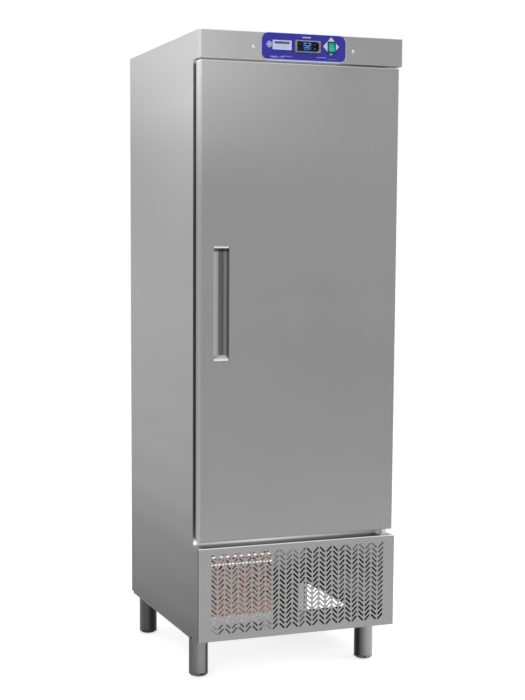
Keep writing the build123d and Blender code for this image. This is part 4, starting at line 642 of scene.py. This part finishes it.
def cap_finish():
    """Light caps, whose upper one has painted shade under its rim where the channel shades it."""
    cap = Finish("light_cap", Coat_Weight=0.3, Coat_Roughness=0.1)
    patch = cap.patches()
    light = cap.mix(patch, (0.80, 0.81, 0.82), (0.90, 0.91, 0.92))
    shaded = cap.past(cap.z, UPPER_CAP_RIM, -0.8) * cap.past(cap.z, UPPER_CAP_START, 20)
    cap.feed("Base Color", cap.mix(shaded, light, steps("x", CAP_PAINTED_SHADE)(cap)))
    cap.feed("Roughness", 0.22 + 0.08 * patch)
    return cap.material


light_cap = cap_finish()

# %% [markdown]
# ## The finned block behind the grille
# Through the slots the camera sees the condenser: thin fins on copper tubes, brown and rose, with lighter
# patches and dark cells, the dark cells being painted shade between the fins. Its colour is what shows from
# outside, so it gets one finish of its own, with rose spots and a warmer lower part. A faint glow, painted
# light, stands for what the slots let in from the room.

# %% Paint the fins
# The darkest stops are painted shade between the fins.
FIN_COLOURS = [
    (0.0, (0.03, 0.012, 0.01)), (0.28, (0.07, 0.035, 0.03)), (0.40, (0.50, 0.36, 0.29)),
    (0.56, (0.80, 0.27, 0.25)), (0.72, (0.70, 0.55, 0.44)), (0.86, (0.78, 0.44, 0.34)),
    (1.0, (0.36, 0.25, 0.21)),
]
FIN_LOW, FIN_TOP = 185.0, 365.0


def fin_finish():
    fins = Finish("fin_finish", Metallic=0.35, Emission_Strength=0.10)
    patch = fins.noise((38.0, 38.0, 55.0), detail=3.0)
    dapple = fins.ramp(fins.cells((130.0, 30.0, 170.0)), FIN_COLOURS)
    height = (fins.z - FIN_LOW * MM) / ((FIN_TOP - FIN_LOW) * MM)
    warm = fins.ramp(height, [(0.0, 0.5), (0.35, 0.15), (1.0, 0.0)])
    warmed = fins.mix(warm, dapple, (0.90, 0.52, 0.32))
    pale_patched = fins.mix(fins.ramp(patch, [(0.45, 0.0), (0.75, 0.6)]), warmed, (0.70, 0.56, 0.48))
    fins.feed("Base Color", pale_patched)
    # The fins' own glow is painted light.
    fins.feed("Emission Color", pale_patched)
    fins.feed("Roughness", 0.38 + 0.2 * patch)
    return fins.material


fin_copper = fin_finish()

# %% [markdown]
# ## The printed sheet on the head
# The controls sit in a blue printed sheet with a thin pale border and a pale diamond behind the switch. The
# print could be cut from thin plates, but ink has no thickness, so it is drawn in the finish: the distance
# to a rounded rectangle gives sharp masks at any size. A few plain strokes give the print its rhythm. It
# runs on over the head's two bends, so the head's steel takes it up there.


# %% Define the masks of the print
def rounded_distance(finish, middle, half, radius):
    """Distance in metres to the edge of a rounded rectangle in the XZ plane, below zero inside it."""
    dx = finish.maths("MAXIMUM", abs(finish.x - middle[0] * MM) - (half[0] - radius) * MM, 0.0)
    dz = finish.maths("MAXIMUM", abs(finish.z - middle[1] * MM) - (half[1] - radius) * MM, 0.0)
    return finish.maths("SQRT", dx * dx + dz * dz) - radius * MM


def inside(finish, distance, edge=0.25):
    """1 inside a shape and 0 outside, softened over the edge in millimetres."""
    return finish.clamp(0.5 - distance / (2 * edge * MM))


def stroke(finish, left, right, height, half_width):
    """A level printed stroke with round ends."""
    middle = ((left + right) / 2, height)
    half = ((right - left) / 2, half_width)
    return inside(finish, rounded_distance(finish, middle, half, half_width * 0.95))


# %% Print the blue sheet
SHEET_MIDDLE = (0.0, 1755.5)
SHEET_HALF = (126.0, 35.0)
SHEET_RADIUS = 17.0
BORDER_HALF = 0.9
BORDER_TOP = 1786.0
DIAMOND_MIDDLE = (80.5, 1762.5)
DIAMOND_HALF = (25.0, 26.5)
DIAMOND_LOW_PART = 1748.0
PRINT_BLUE = (0.026, 0.027, 0.28)
PRINT_BLUE_LIGHT = (0.040, 0.038, 0.36)
PRINT_PALE = (0.62, 0.60, 0.82)
BORDER_PALE = (0.56, 0.55, 0.78)
STROKES = [
    {"left": -66, "right": -36, "height": 1730.9, "half_width": 0.9, "ink": 0.45},
    {"left": 37, "right": 66, "height": 1731.8, "half_width": 0.9, "ink": 0.5},
    {"left": 70, "right": 98, "height": 1728.6, "half_width": 0.7, "ink": 0.25},
    {"left": -6, "right": 20, "height": 1783.2, "half_width": 1.5, "ink": 0.9},
]


def printed_sheet():
    ink = Finish("printed_sheet", Specular_IOR_Level=0.22)
    cloud = ink.noise((9.0, 9.0, 9.0), detail=2.0)
    colour = ink.mix(cloud, PRINT_BLUE, PRINT_BLUE_LIGHT)
    sheet_edge = rounded_distance(ink, SHEET_MIDDLE, SHEET_HALF, SHEET_RADIUS)
    border = inside(ink, abs(sheet_edge + BORDER_HALF * MM) - BORDER_HALF * MM) * (ink.z < BORDER_TOP * MM)
    aside = abs(ink.x - DIAMOND_MIDDLE[0] * MM) / (DIAMOND_HALF[0] * MM)
    away = abs(ink.z - DIAMOND_MIDDLE[1] * MM) / (DIAMOND_HALF[1] * MM)
    diamond = ink.clamp((1.0 - aside - away) * 9.0)
    low_part = ink.past(ink.z, DIAMOND_LOW_PART, -9.0)
    diamond_pale = ink.mix(low_part, (0.68, 0.64, 0.80), (0.32, 0.24, 0.64))
    marks = ink.ramp(ink.noise((230.0, 1.0, 60.0), detail=1.0), [(0.42, 0.1), (0.56, 1.0)])
    colour = ink.mix(border * 0.9, colour, BORDER_PALE)
    colour = ink.mix(diamond, colour, diamond_pale)
    colour = ink.mix(stroke(ink, -101, -60, 1728.5, 2.2) * marks * 0.45, colour, PRINT_PALE)
    for mark in STROKES:
        shape = stroke(ink, mark["left"], mark["right"], mark["height"], mark["half_width"])
        colour = ink.mix(shape * mark["ink"], colour, PRINT_PALE)
    ink.feed("Base Color", colour)
    ink.feed("Roughness", 0.34 + 0.08 * cloud)
    ink.bump(ink.noise(1100.0), 0.02, 0.4)
    return ink.material


overlay_print = printed_sheet()

# %% Paint the head with the print's two edges
HEAD_STEPS = [(-300, 0.466), (-278, 0.451), (-172, 0.403), (150, 0.298), (300, 0.294)]
UPPER_BEND = 1790.4
LOWER_BEND = 1720.6
PRINT_REACH = 109.0
BEND_BLUE = (0.045, 0.045, 0.34)
BEND_PALE = (0.55, 0.55, 0.78)


def print_over_bends(steel, tone):
    """The print where it runs over the head's bends: blue above, the pale border below."""
    across = inside(steel, abs(steel.x) - PRINT_REACH * MM, 1.0)
    above = across * (steel.z > UPPER_BEND * MM) * (steel.y < (FRONT + 10) * MM)
    below = across * (steel.z < LOWER_BEND * MM)
    return steel.mix(below * 0.55, steel.mix(above, tone, BEND_BLUE), BEND_PALE)


def head_tone(steel):
    """Painted light in steps along the face, lighter to the left, and painted shade on the underside over the
    door's right half.
    """
    under = steel.past(steel.z, HEAD_BOTTOM + 0.6, -0.4) * steel.past(steel.x, 100, 60)
    return steps("x", HEAD_STEPS)(steel) * (1 - 0.85 * under)


head_steel = steel_sheet("head_sheet", head_tone, grain="X", print_over=print_over_bends)

# %% [markdown]
# ## Display window and lit switch
# The window is black, glossy and a little blue where the digits light it from behind. The rocker is clear
# green plastic with a lamp in it, so it glows, most of all in its middle.


# %% Finish the window and the rocker
LIT_MIDDLE = (8.0, 1760.5)
LIT_HALF = (14.5, 11.5)
ROCKER_X = 82.0
ROCKER_LAMP = (ROCKER_X, 1758.0)
ROCKER_LAMP_HALF = (7.0, 9.0)
LIGHT_EDGE = 3.0


def window_finish():
    window = Finish("display_window_finish", Emission_Strength=1.0, Specular_IOR_Level=0.05)
    haze = window.noise(60.0)
    window.feed("Base Color", window.mix(haze, (0.003, 0.004, 0.007), (0.008, 0.010, 0.016)))
    window.feed("Roughness", 0.16 + 0.08 * haze)
    lit = inside(window, rounded_distance(window, LIT_MIDDLE, LIT_HALF, 4.0), LIGHT_EDGE)
    window.feed("Emission Color", window.mix(lit, NO_LIGHT, (0.003, 0.022, 0.12)))
    return window.material


def rocker_finish():
    rocker = Finish("lit_green_rocker", Emission_Strength=1.0, Specular_IOR_Level=0.14)
    swirl = rocker.noise(120.0)
    rocker.feed("Base Color", rocker.mix(swirl, (0.008, 0.20, 0.16), (0.015, 0.30, 0.24)))
    middle = inside(rocker, rounded_distance(rocker, ROCKER_LAMP, ROCKER_LAMP_HALF, 4.5), LIGHT_EDGE)
    rocker.feed("Emission Color", rocker.mix(middle, (0.002, 0.09, 0.08), (0.006, 0.20, 0.16)))
    rocker.feed("Roughness", 0.26 + 0.1 * swirl)
    return rocker.material


window_black = window_finish()
rocker_green = rocker_finish()


# %% Light the small marks
def glowing(name, colour, strength):
    """A small lit mark with a fine grain."""
    lit = Finish(name, Roughness=0.4, Emission_Strength=strength)
    shade = lit.mix(lit.noise(700.0), tuple(c * 0.8 for c in colour), colour)
    lit.feed("Base Color", shade)
    lit.feed("Emission Color", shade)
    return lit.material


digit_light = glowing("digit_light", (0.09, 0.25, 0.45), 0.85)
label_light = glowing("label_light", (0.06, 0.13, 0.26), 0.7)
red_light = glowing("red_light", (0.13, 0.03, 0.02), 0.4)
olive_light = glowing("olive_light", (0.09, 0.09, 0.03), 0.4)
dim_light = glowing("dim_light", (0.05, 0.09, 0.07), 0.5)

# %% [markdown]
# ## Give every CAD solid its finish
# The solids arrive with a plain colour each. Each could be painted where its finish is made, but one table
# of solids and finishes can be checked at a glance, and its loop stops if a solid was forgotten.

# %% Assign the finishes
finish_of = {
    "left_side_panel": side_steel, "right_side_panel": side_steel, "door_skin": door_steel,
    "head_fascia": head_steel, "grille_panel": grille_steel, "top_panel": top_steel, "lower_deck": deck_steel,
    "front_frame": frame_steel, "handle_channel": handle_steel, "handle_lip": lip_steel,
    "hinge_brackets": hinge_steel, "inner_liner": inner_steel, "door_inner_panel": inner_steel,
    "shelf_runners": inner_steel, "back_panel": zinc, "rear_vent_panel": vent_zinc, "floor_plates": zinc,
    "base_rails": rail_zinc, "unit_base_plate": base_zinc, "fascia_brackets": zinc,
    "air_divider": divider_paint, "insulation_foam": hard_foam, "door_foam": hard_foam,
    "control_overlay": overlay_print,
    "controller_case": controller_plastic, "display_window": window_black, "rocker_frame": switch_plastic,
    "rocker_button": rocker_green, "fascia_screws": screw_metal, "hinge_screws": screw_metal,
    "legs": leg_tube_steel, "rear_spacers": dark_rubber, "cable_gland": gland_plastic,
    "door_gasket": gasket_rubber, "door_frame": white_plastic, "hinge_bushes": nylon,
    "handle_end_caps": light_cap, "condenser_fins": fin_copper, "condenser_tube": tube_copper,
    "refrigerant_lines": tube_copper, "fan_shroud": black_paint, "compressor_shell": black_paint,
    "compressor_cradle": black_paint, "condenser_fan_motor": motor_metal, "evaporator_fan_motor": motor_metal,
    "condenser_fan_blade": fan_blade_metal, "evaporator_fan_blade": fan_blade_metal,
    "evaporator_coil": coil_metal, "evaporator_cover": white_plastic,
}
for number in (1, 2, 3):
    finish_of[f"shelf_{number}"] = shelf_coating
for number in (1, 2, 3, 4):
    finish_of[f"key_{number}"] = key_plastic
for corner in ("front_left", "front_right", "rear_left", "rear_right"):
    finish_of[f"foot_{corner}"] = foot_plastic
for name, solid in nodes.items():
    solid.data.materials.clear()
    solid.data.materials.append(finish_of[name])
print("solids with a finish:", len(nodes))

# %% [markdown]
# ## Tools for modelling by hand
# New pieces are made as one would at the screen: add a primitive, open it in edit mode, select faces or
# edges by where they are, and extrude, inset or bevel them. The next helpers do the repeated part of that,
# so each piece below is only its own few steps. All lengths are in millimetres.


# %% Define how a piece is taken and started
def leave_all():
    """Object mode with nothing selected."""
    if bpy.context.mode != "OBJECT":
        bpy.ops.object.mode_set(mode="OBJECT")
    bpy.ops.object.select_all(action="DESELECT")


def take(piece):
    """Object mode with only this piece selected and active."""
    leave_all()
    piece.select_set(True)
    bpy.context.view_layer.objects.active = piece


def settle(name):
    """Names the active piece and puts its place into its mesh."""
    piece = bpy.context.object
    bpy.ops.object.transform_apply(location=True, rotation=True, scale=True)
    piece.name = name
    piece.data.name = name
    return piece


def start_block(name, low, high):
    """A cube stretched from one corner to the opposite one."""
    leave_all()
    middle = [(a + b) / 2 * MM for a, b in zip(low, high)]
    size = [(b - a) * MM for a, b in zip(low, high)]
    bpy.ops.mesh.primitive_cube_add(size=1, location=middle, scale=size)
    return settle(name)


TURN_TO = {"X": (0, pi / 2, 0), "Y": (pi / 2, 0, 0), "Z": (0, 0, 0)}


def start_round(name, middle, radius, depth, axis, sides=32):
    """A cylinder round a point, along one axis."""
    leave_all()
    place = [c * MM for c in middle]
    bpy.ops.mesh.primitive_cylinder_add(
        vertices=sides, radius=radius * MM, depth=depth * MM, location=place, rotation=TURN_TO[axis]
    )
    return settle(name)


# %% Define how parts of it are selected and shaped
def select_parts(piece, kind, passes):
    """Edit mode with only the faces or edges selected that pass."""
    take(piece)
    bpy.ops.object.mode_set(mode="EDIT")
    bpy.ops.mesh.select_mode(type=kind)
    bpy.ops.mesh.select_all(action="DESELECT")
    shape = bmesh.from_edit_mesh(piece.data)
    for part in shape.faces if kind == "FACE" else shape.edges:
        part.select_set(bool(passes(part)))
    bmesh.update_edit_mesh(piece.data)


def select_faces(piece, test):
    """Selects the faces whose middle, in millimetres, and normal pass the test."""
    select_parts(piece, "FACE", lambda face: test(face.calc_center_median() / MM, face.normal))


def select_edges(piece, test):
    """Selects the edges whose two ends, in millimetres, pass the test."""
    select_parts(piece, "EDGE", lambda edge: test(edge.verts[0].co / MM, edge.verts[1].co / MM))


def along(axis):
    """Test for edges that run along one axis."""
    number = "XYZ".index(axis)
    return lambda start, end: abs(end[number] - start[number]) > 0.99 * (end - start).length


def faces_front(middle, normal):
    """Test for faces that look to the front."""
    return normal.y < -0.9


def bevel(width, segments):
    bpy.ops.mesh.bevel(offset=width * MM, segments=segments, affect="EDGES")


def round_edges(piece, axis, width, segments):
    """Bevels the edges that run along one axis."""
    select_edges(piece, along(axis))
    bevel(width, segments)


def inset(width, depth=0.0):
    """A smaller face inside each selected one, sunk where the depth is below zero."""
    bpy.ops.mesh.inset(thickness=width * MM, depth=depth * MM)


def extrude(move):
    """Pulls the selected faces out by a move in millimetres."""
    bpy.ops.mesh.extrude_region_move(TRANSFORM_OT_translate={"value": [c * MM for c in move]})


# %% Define how pieces are copied, joined and completed
def copy_piece(piece, name, move):
    """A second piece with its own mesh, moved by millimetres."""
    take(piece)
    bpy.ops.object.duplicate(linked=False)
    bpy.context.object.location = [c * MM for c in move]
    return settle(name)


def join_pieces(pieces, name):
    """One piece from several."""
    take(pieces[0])
    for piece in pieces:
        piece.select_set(True)
    bpy.ops.object.join()
    return settle(name)


def apply_all(piece):
    """Applies the piece's modifiers from the top down."""
    take(piece)
    for modifier in list(piece.modifiers):
        bpy.ops.object.modifier_apply(modifier=modifier.name)


def complete(piece, body, material, stands_for=()):
    """Smooths a piece, paints it and lets it ride on its body."""
    take(piece)
    bpy.ops.object.shade_smooth_by_angle(angle=radians(35))
    piece.data.materials.clear()
    piece.data.materials.append(material)
    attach(piece, body)
    if stands_for:
        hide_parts(*stands_for)
    print("made", piece.name, "faces:", len(piece.data.polygons))
    return piece


# %% [markdown]
# ## Bare nameplate and badge
# At the left of the print sit a light plate and a small round badge, both plain. A flat box would look like
# paper, so the plate gets rounded corners and a fine raised rim, and the badge a stepped face. One broad
# rule and three fine ones are inked on the plate, and one ring on the badge.

# %% Shape the nameplate
OVERLAY_FRONT = -315.6
PLATE_LEFT, PLATE_RIGHT = -92.8, -37.0
PLATE_LOW, PLATE_TOP = 1747.8, 1773.0
PLATE_THICKNESS = 0.5
plate = start_block(
    "bare_nameplate", (PLATE_LEFT, OVERLAY_FRONT - PLATE_THICKNESS, PLATE_LOW),
    (PLATE_RIGHT, OVERLAY_FRONT, PLATE_TOP)
)
round_edges(plate, "Y", 1.6, 4)
select_faces(plate, faces_front)
inset(1.0)
inset(0.25, -0.18)


# %% Paint the nameplate
def nameplate_finish():
    paint = Finish("nameplate_paint", Specular_IOR_Level=0.3)
    cloud = paint.noise(90.0, detail=3.0)
    colour = paint.mix(cloud, (0.50, 0.53, 0.72), (0.66, 0.69, 0.90))
    colour = paint.mix(stroke(paint, -88, -43, 1766.4, 3.4) * 0.95, colour, (0.07, 0.07, 0.20))
    for height in (1759.4, 1756.0, 1752.6):
        colour = paint.mix(stroke(paint, -85, -44, height, 0.7) * 0.35, colour, (0.25, 0.24, 0.40))
    paint.feed("Base Color", colour)
    paint.feed("Roughness", 0.36 + 0.12 * cloud)
    return paint.material


complete(plate, "cabinet", nameplate_finish())

# %% Shape the badge
BADGE_X, BADGE_Z = -102.4, 1761.0
BADGE_RADIUS = 8.2
BADGE_THICKNESS = 0.6
badge_middle = (BADGE_X, OVERLAY_FRONT - BADGE_THICKNESS / 2, BADGE_Z)
badge = start_round("bare_badge", badge_middle, BADGE_RADIUS, BADGE_THICKNESS, "Y", 40)
select_faces(badge, faces_front)
inset(1.1)
inset(0.3, -0.25)
inset(2.6)
inset(0.3, 0.25)


# %% Paint the badge
def badge_finish():
    enamel = Finish("badge_enamel", Coat_Weight=0.4, Coat_Roughness=0.1)
    ring_distance = abs(rounded_distance(enamel, (BADGE_X, BADGE_Z), (5.2, 5.2), 5.2)) - 1.3 * MM
    cloud = enamel.noise(260.0)
    pale = enamel.mix(cloud, (0.42, 0.44, 0.80), (0.56, 0.58, 0.92))
    enamel.feed("Base Color", enamel.mix(inside(enamel, ring_distance) * 0.9, pale, (0.07, 0.08, 0.42)))
    enamel.feed("Roughness", 0.3 + 0.1 * cloud)
    return enamel.material


complete(badge, "cabinet", badge_finish())

# %% [markdown]
# ## Lit digits
# A seven-segment digit is made of bars with pointed ends. One bar is a thin block whose four edges from
# front to back are bevelled until they nearly meet in a point at each end. The level bar and the upright
# bar are made once, and every other bar is a copy. The number is only a sample reading. The label below is
# three short bars with round corners.

# %% Shape the two bars
WINDOW_FRONT = -319.5
LIGHT_THICKNESS = 0.12
BAR_WIDTH = 1.7
BAR_GAP = 0.3
DIGIT_WIDTH = 8.0
DIGIT_HEIGHT = 12.6


def thin_bar(name, low, high, corner, segments):
    """A bar on the window between two corners in X and Z, with its corners cut or rounded."""
    light_front = WINDOW_FRONT - LIGHT_THICKNESS
    bar = start_block(name, (low[0], light_front, low[1]), (high[0], WINDOW_FRONT, high[1]))
    round_edges(bar, "Y", corner, segments)
    return bar


def pointed_bar(name, half_width, half_height):
    return thin_bar(name, (-half_width, -half_height), (half_width, half_height), BAR_WIDTH * 0.48, 1)


level_bar = pointed_bar("level_bar", DIGIT_WIDTH / 2 - BAR_GAP, BAR_WIDTH / 2)
upright_bar = pointed_bar("upright_bar", BAR_WIDTH / 2, DIGIT_HEIGHT / 4 - BAR_GAP)
print("bars:", level_bar.name, "and", upright_bar.name)

# %% Set the digits
DIGIT_LEFT = -2.8
DIGIT_PITCH = 11.4
DIGIT_BOTTOM = 1755.4
BAR_PLACES = {
    "top": (level_bar, 0.5, 1.0), "middle": (level_bar, 0.5, 0.5), "bottom": (level_bar, 0.5, 0.0),
    "upper_left": (upright_bar, 0.0, 0.75), "upper_right": (upright_bar, 1.0, 0.75),
    "lower_left": (upright_bar, 0.0, 0.25), "lower_right": (upright_bar, 1.0, 0.25),
}
LIT = [
    ("top", "upper_left", "middle", "lower_right", "bottom"),
    ("top", "upper_right", "middle", "lower_left", "bottom"),
]
for number, names in enumerate(LIT):
    left = DIGIT_LEFT + number * DIGIT_PITCH + BAR_WIDTH / 2
    bars = []
    for name in names:
        bar, across, up = BAR_PLACES[name]
        x = left + across * DIGIT_WIDTH
        z = DIGIT_BOTTOM + up * DIGIT_HEIGHT
        bars.append(copy_piece(bar, f"lit_bar_{number}_{name}", (x, 0, z)))
    digit = join_pieces(bars, f"lit_digit_{number + 1}")
    complete(digit, "cabinet", digit_light)
for pattern in (level_bar, upright_bar):
    bpy.data.objects.remove(pattern)

# %% Make the small lit label under the digits
LABEL_LOW, LABEL_TOP = 1750.0, 1751.8
LABEL_PART = 4.4
label_parts = []
for left in (-2.0, 3.6, 9.2):
    right = left + LABEL_PART
    label_parts.append(thin_bar(f"label_{left}", (left, LABEL_LOW), (right, LABEL_TOP), 0.4, 2))
lit_label = join_pieces(label_parts, "lit_label")
complete(lit_label, "cabinet", label_light)

# %% [markdown]
# ## Marks on the keys and the switch
# The left keys carry small arrows and the right ones small lenses, all moving with their keys. An arrow is
# a cylinder with three sides and rounded corners, and its copy is turned upside down by a negative scale,
# after which its faces are flipped outwards again. A lens is a disc with a stepped face.

# %% Make the arrows
KEY_FRONT = -320.3
ARROW_X, ARROW_Z = -15.0, 1764.8
ARROW_RADIUS = 1.7
ARROW_THICKNESS = 0.1
KEY_ROWS_MIDDLE = 1759.0
arrow_middle = (ARROW_X, KEY_FRONT - ARROW_THICKNESS / 2, ARROW_Z)
arrow_up = start_round("arrow_up", arrow_middle, ARROW_RADIUS, ARROW_THICKNESS, "Y", 3)
round_edges(arrow_up, "Y", 0.3, 2)
arrow_down = copy_piece(arrow_up, "arrow_down", (0, 0, 0))
take(arrow_down)
bpy.ops.object.mode_set(mode="EDIT")
bpy.ops.mesh.select_all(action="SELECT")
bpy.ops.transform.resize(value=(1, 1, -1), center_override=(0, 0, KEY_ROWS_MIDDLE * MM))
bpy.ops.mesh.flip_normals()
complete(arrow_up, "key_a", dim_light)
complete(arrow_down, "key_b", dim_light)

# %% Make the lenses
LENS_X = 29.5
LENS_RADIUS = 1.9
LENS_THICKNESS = 0.12


def lens(name, height, body, material):
    """Small round lens with a stepped face on a key."""
    middle = (LENS_X, KEY_FRONT - LENS_THICKNESS / 2, height)
    piece = start_round(name, middle, LENS_RADIUS, LENS_THICKNESS, "Y", 20)
    select_faces(piece, faces_front)
    inset(0.5, 0.08)
    complete(piece, body, material)


lens("red_lens", 1765.0, "key_c", red_light)
lens("olive_lens", 1753.0, "key_d", olive_light)

# %% [markdown]
# The rocker carries the usual bar and ring for on and off, plain signs that many appliances share. The bar
# is a rounded block on its upper half. The lower half slopes, so the ring, a thin torus, is tilted to lie
# on it.

# %% Mark the rocker
BAR_MARK_LOW = (ROCKER_X - 0.4, -315.62, 1763.8)
BAR_MARK_HIGH = (ROCKER_X + 0.4, -315.40, 1769.8)
RING_MARK_MIDDLE = (ROCKER_X * MM, -317.98 * MM, 1755.25 * MM)
RING_MARK_TILT = 67.2
rocker_mark_paint = moulded("rocker_mark_paint", (0.16, 0.50, 0.42), 0.35)
on_bar = start_block("rocker_bar_mark", BAR_MARK_LOW, BAR_MARK_HIGH)
round_edges(on_bar, "Y", 0.3, 3)
complete(on_bar, "rocker", rocker_mark_paint)
leave_all()
bpy.ops.mesh.primitive_torus_add(
    major_segments=32, minor_segments=8, major_radius=2.6 * MM, minor_radius=0.32 * MM,
    location=RING_MARK_MIDDLE, rotation=(radians(RING_MARK_TILT), 0, 0)
)
off_ring = settle("rocker_ring_mark")
complete(off_ring, "rocker", rocker_mark_paint)

# %% [markdown]
# ## The fin block
# A condenser is a stack of some sixty thin fins between two end plates, pressed on to its tubes. The CAD
# solid has fewer and thicker fins, enough for weight and collision. Here one thin fin is made and repeated
# by an array across a slightly smaller core, so the gaps are real grooves but no light runs through.

# %% Build the fin block
FIN_LEFT, FIN_RIGHT = -252.0, -64.0
FIN_FRONT, FIN_BACK = -273.0, -213.0
FIN_PITCH = 3.0
FIN_THICKNESS = 0.5
FIN_INSET = 0.5
GROOVE_DEPTH = 3.0
CORE_INSET = 1.0
END_PLATE = 1.5
core_low = (FIN_LEFT + END_PLATE, FIN_FRONT + GROOVE_DEPTH, FIN_LOW + CORE_INSET)
core_high = (FIN_RIGHT - END_PLATE, FIN_BACK - GROOVE_DEPTH, FIN_TOP - CORE_INSET)
core = start_block("fin_core", core_low, core_high)
fin_low = (FIN_LEFT + FIN_PITCH, FIN_FRONT + FIN_INSET, FIN_LOW)
fin_high = (FIN_LEFT + FIN_PITCH + FIN_THICKNESS, FIN_BACK - FIN_INSET, FIN_TOP)
fins = start_block("fin_row", fin_low, fin_high)
row = fins.modifiers.new("fins_side_by_side", "ARRAY")
row.count = int((FIN_RIGHT - FIN_LEFT) / FIN_PITCH) - 1
row.use_relative_offset = False
row.use_constant_offset = True
row.constant_offset_displace = (FIN_PITCH * MM, 0, 0)
apply_all(fins)
fin_parts = [core, fins]
for left in (FIN_LEFT, FIN_RIGHT - END_PLATE):
    end_plate = start_block("end_plate", (left, FIN_FRONT, FIN_LOW), (left + END_PLATE, FIN_BACK, FIN_TOP))
    round_edges(end_plate, "X", END_PLATE, 2)
    fin_parts.append(end_plate)
fin_block = join_pieces(fin_parts, "fin_block")
complete(fin_block, "cabinet", fin_copper, ["condenser_fins"])

# %% [markdown]
# Two pale rails with painted light hold the stack in front, and a small copper return bend lies before the
# fins at the right.
# A rail is a block with its long edges rounded. The bend could be a curve with a round profile. Here a disc
# is pulled out into a straight run, spun through half a turn and pulled out again, as a tube is bent.

# %% Add the two front rails
RAIL_HEIGHTS = (356.0, 334.5)
RAIL_HALF = 2.2
RAIL_DEPTH = 2.5
for number, height in enumerate(RAIL_HEIGHTS):
    rail_low = (FIN_LEFT, FIN_FRONT - RAIL_DEPTH, height - RAIL_HALF)
    rail_high = (FIN_RIGHT, FIN_FRONT, height + RAIL_HALF)
    rail = start_block(f"condenser_rail_{number + 1}", rail_low, rail_high)
    round_edges(rail, "X", 0.8, 2)
    complete(rail, "cabinet", lit_zinc)

# %% Bend the copper return
RETURN_LEFT, RETURN_RIGHT = -112.0, -74.0
RETURN_Y = FIN_FRONT - 3.0
RETURN_TOP = 271.0
RETURN_BEND = 7.5
RETURN_END = 22.0
RETURN_TUBE = 2.4
leave_all()
bpy.ops.mesh.primitive_circle_add(
    vertices=16, radius=RETURN_TUBE * MM, fill_type="NGON",
    location=(RETURN_LEFT * MM, RETURN_Y * MM, RETURN_TOP * MM), rotation=TURN_TO["X"]
)
return_bend = settle("condenser_return_bend")
bpy.ops.object.mode_set(mode="EDIT")
bpy.ops.mesh.select_all(action="SELECT")
extrude((RETURN_RIGHT - RETURN_LEFT, 0, 0))
bend_centre = (RETURN_RIGHT * MM, RETURN_Y * MM, (RETURN_TOP - RETURN_BEND) * MM)
bpy.ops.mesh.spin(steps=12, angle=pi, center=bend_centre, axis=(0, 1, 0))
extrude((-RETURN_END, 0, 0))
bpy.ops.mesh.select_all(action="SELECT")
bpy.ops.mesh.normals_make_consistent(inside=False)
bright_copper = copper("bright_copper", (0.96, 0.72, 0.62), (0.90, 0.50, 0.42), 0.16)
complete(return_bend, "cabinet", bright_copper)

# %% [markdown]
# ## Hoods and screws at the back
# Pressed hoods keep dust and drips out of the rear cover's slots, and thread-forming screws hold both rear
# panels. A hood could be one solid wedge. Real ones are bent sheet, open below, so a block loses its lower
# and inner faces and its outer top edge is bevelled wide. The open shell then gets a thickness. A screw's
# head is a disc with a rounded rim and a sunk round recess.

# %% Press one louvre hood
HOOD_HALF = 91.0
HOOD_DEPTH = 4.6
HOOD_LOW, HOOD_TOP = -4.0, 5.0
HOOD_SHEET = 0.8


def on_outer_top(start, end):
    """Test for the hood's long edge that is outermost and uppermost."""
    return along("X")(start, end) and start.y > BACK + 4 and start.z > HOOD_TOP - 1


hood = start_block("hood_pattern", (-HOOD_HALF, BACK, HOOD_LOW), (HOOD_HALF, BACK + HOOD_DEPTH, HOOD_TOP))
select_edges(hood, on_outer_top)
bevel(3.6, 4)
select_faces(hood, lambda middle, normal: normal.z < -0.9 or normal.y < -0.9)
bpy.ops.mesh.delete(type="FACE")
leave_all()
sheet = hood.modifiers.new("sheet", "SOLIDIFY")
sheet.thickness = HOOD_SHEET * MM
sheet.offset = -1.0
apply_all(hood)
print("one hood, faces:", len(hood.data.polygons))

# %% Set the hoods
LOUVRE_X = 130.0
LOUVRE_MIDDLE_Z = 258.25
LOUVRE_PITCH = 20.0
LOUVRE_ROWS = 9
hoods = []
for level in range(LOUVRE_ROWS):
    z = LOUVRE_MIDDLE_Z + (level - LOUVRE_ROWS // 2) * LOUVRE_PITCH
    for x in (-LOUVRE_X, LOUVRE_X):
        hoods.append(copy_piece(hood, f"hood_{level}_{int(x)}", (x, 0, z)))
louvre_hoods = join_pieces(hoods, "louvre_hoods")
complete(louvre_hoods, "cabinet", zinc)
bpy.data.objects.remove(hood)

# %% Drive the rear screws
SCREW_HEIGHTS = (139.0, 258.0, 378.0, 420.0, 850.0, 1280.0, 1705.0)
SCREW_X = 288.0
HEAD_RADIUS = 4.2
HEAD_HEIGHT = 1.8


def pan_screw(name, x, z):
    """Pan-head screw with a round recess, on a rear panel."""
    piece = start_round(name, (x, BACK + HEAD_HEIGHT / 2, z), HEAD_RADIUS, HEAD_HEIGHT, "Y", 24)
    rim = BACK + HEAD_HEIGHT - 0.01
    select_edges(piece, lambda start, end: start.y > rim and end.y > rim)
    bevel(HEAD_HEIGHT * 0.55, 3)
    select_faces(piece, lambda middle, normal: normal.y > 0.99)
    inset(HEAD_RADIUS * 0.28)
    inset(0.05, -HEAD_HEIGHT * 0.4)
    return piece


rear_screws = []
for z in SCREW_HEIGHTS:
    for x in (-SCREW_X, SCREW_X):
        rear_screws.append(pan_screw(f"rear_screw_{int(z)}_{int(x)}", x, z))
rear_screw_set = join_pieces(rear_screws, "rear_screws")
complete(rear_screw_set, "cabinet", screw_metal)
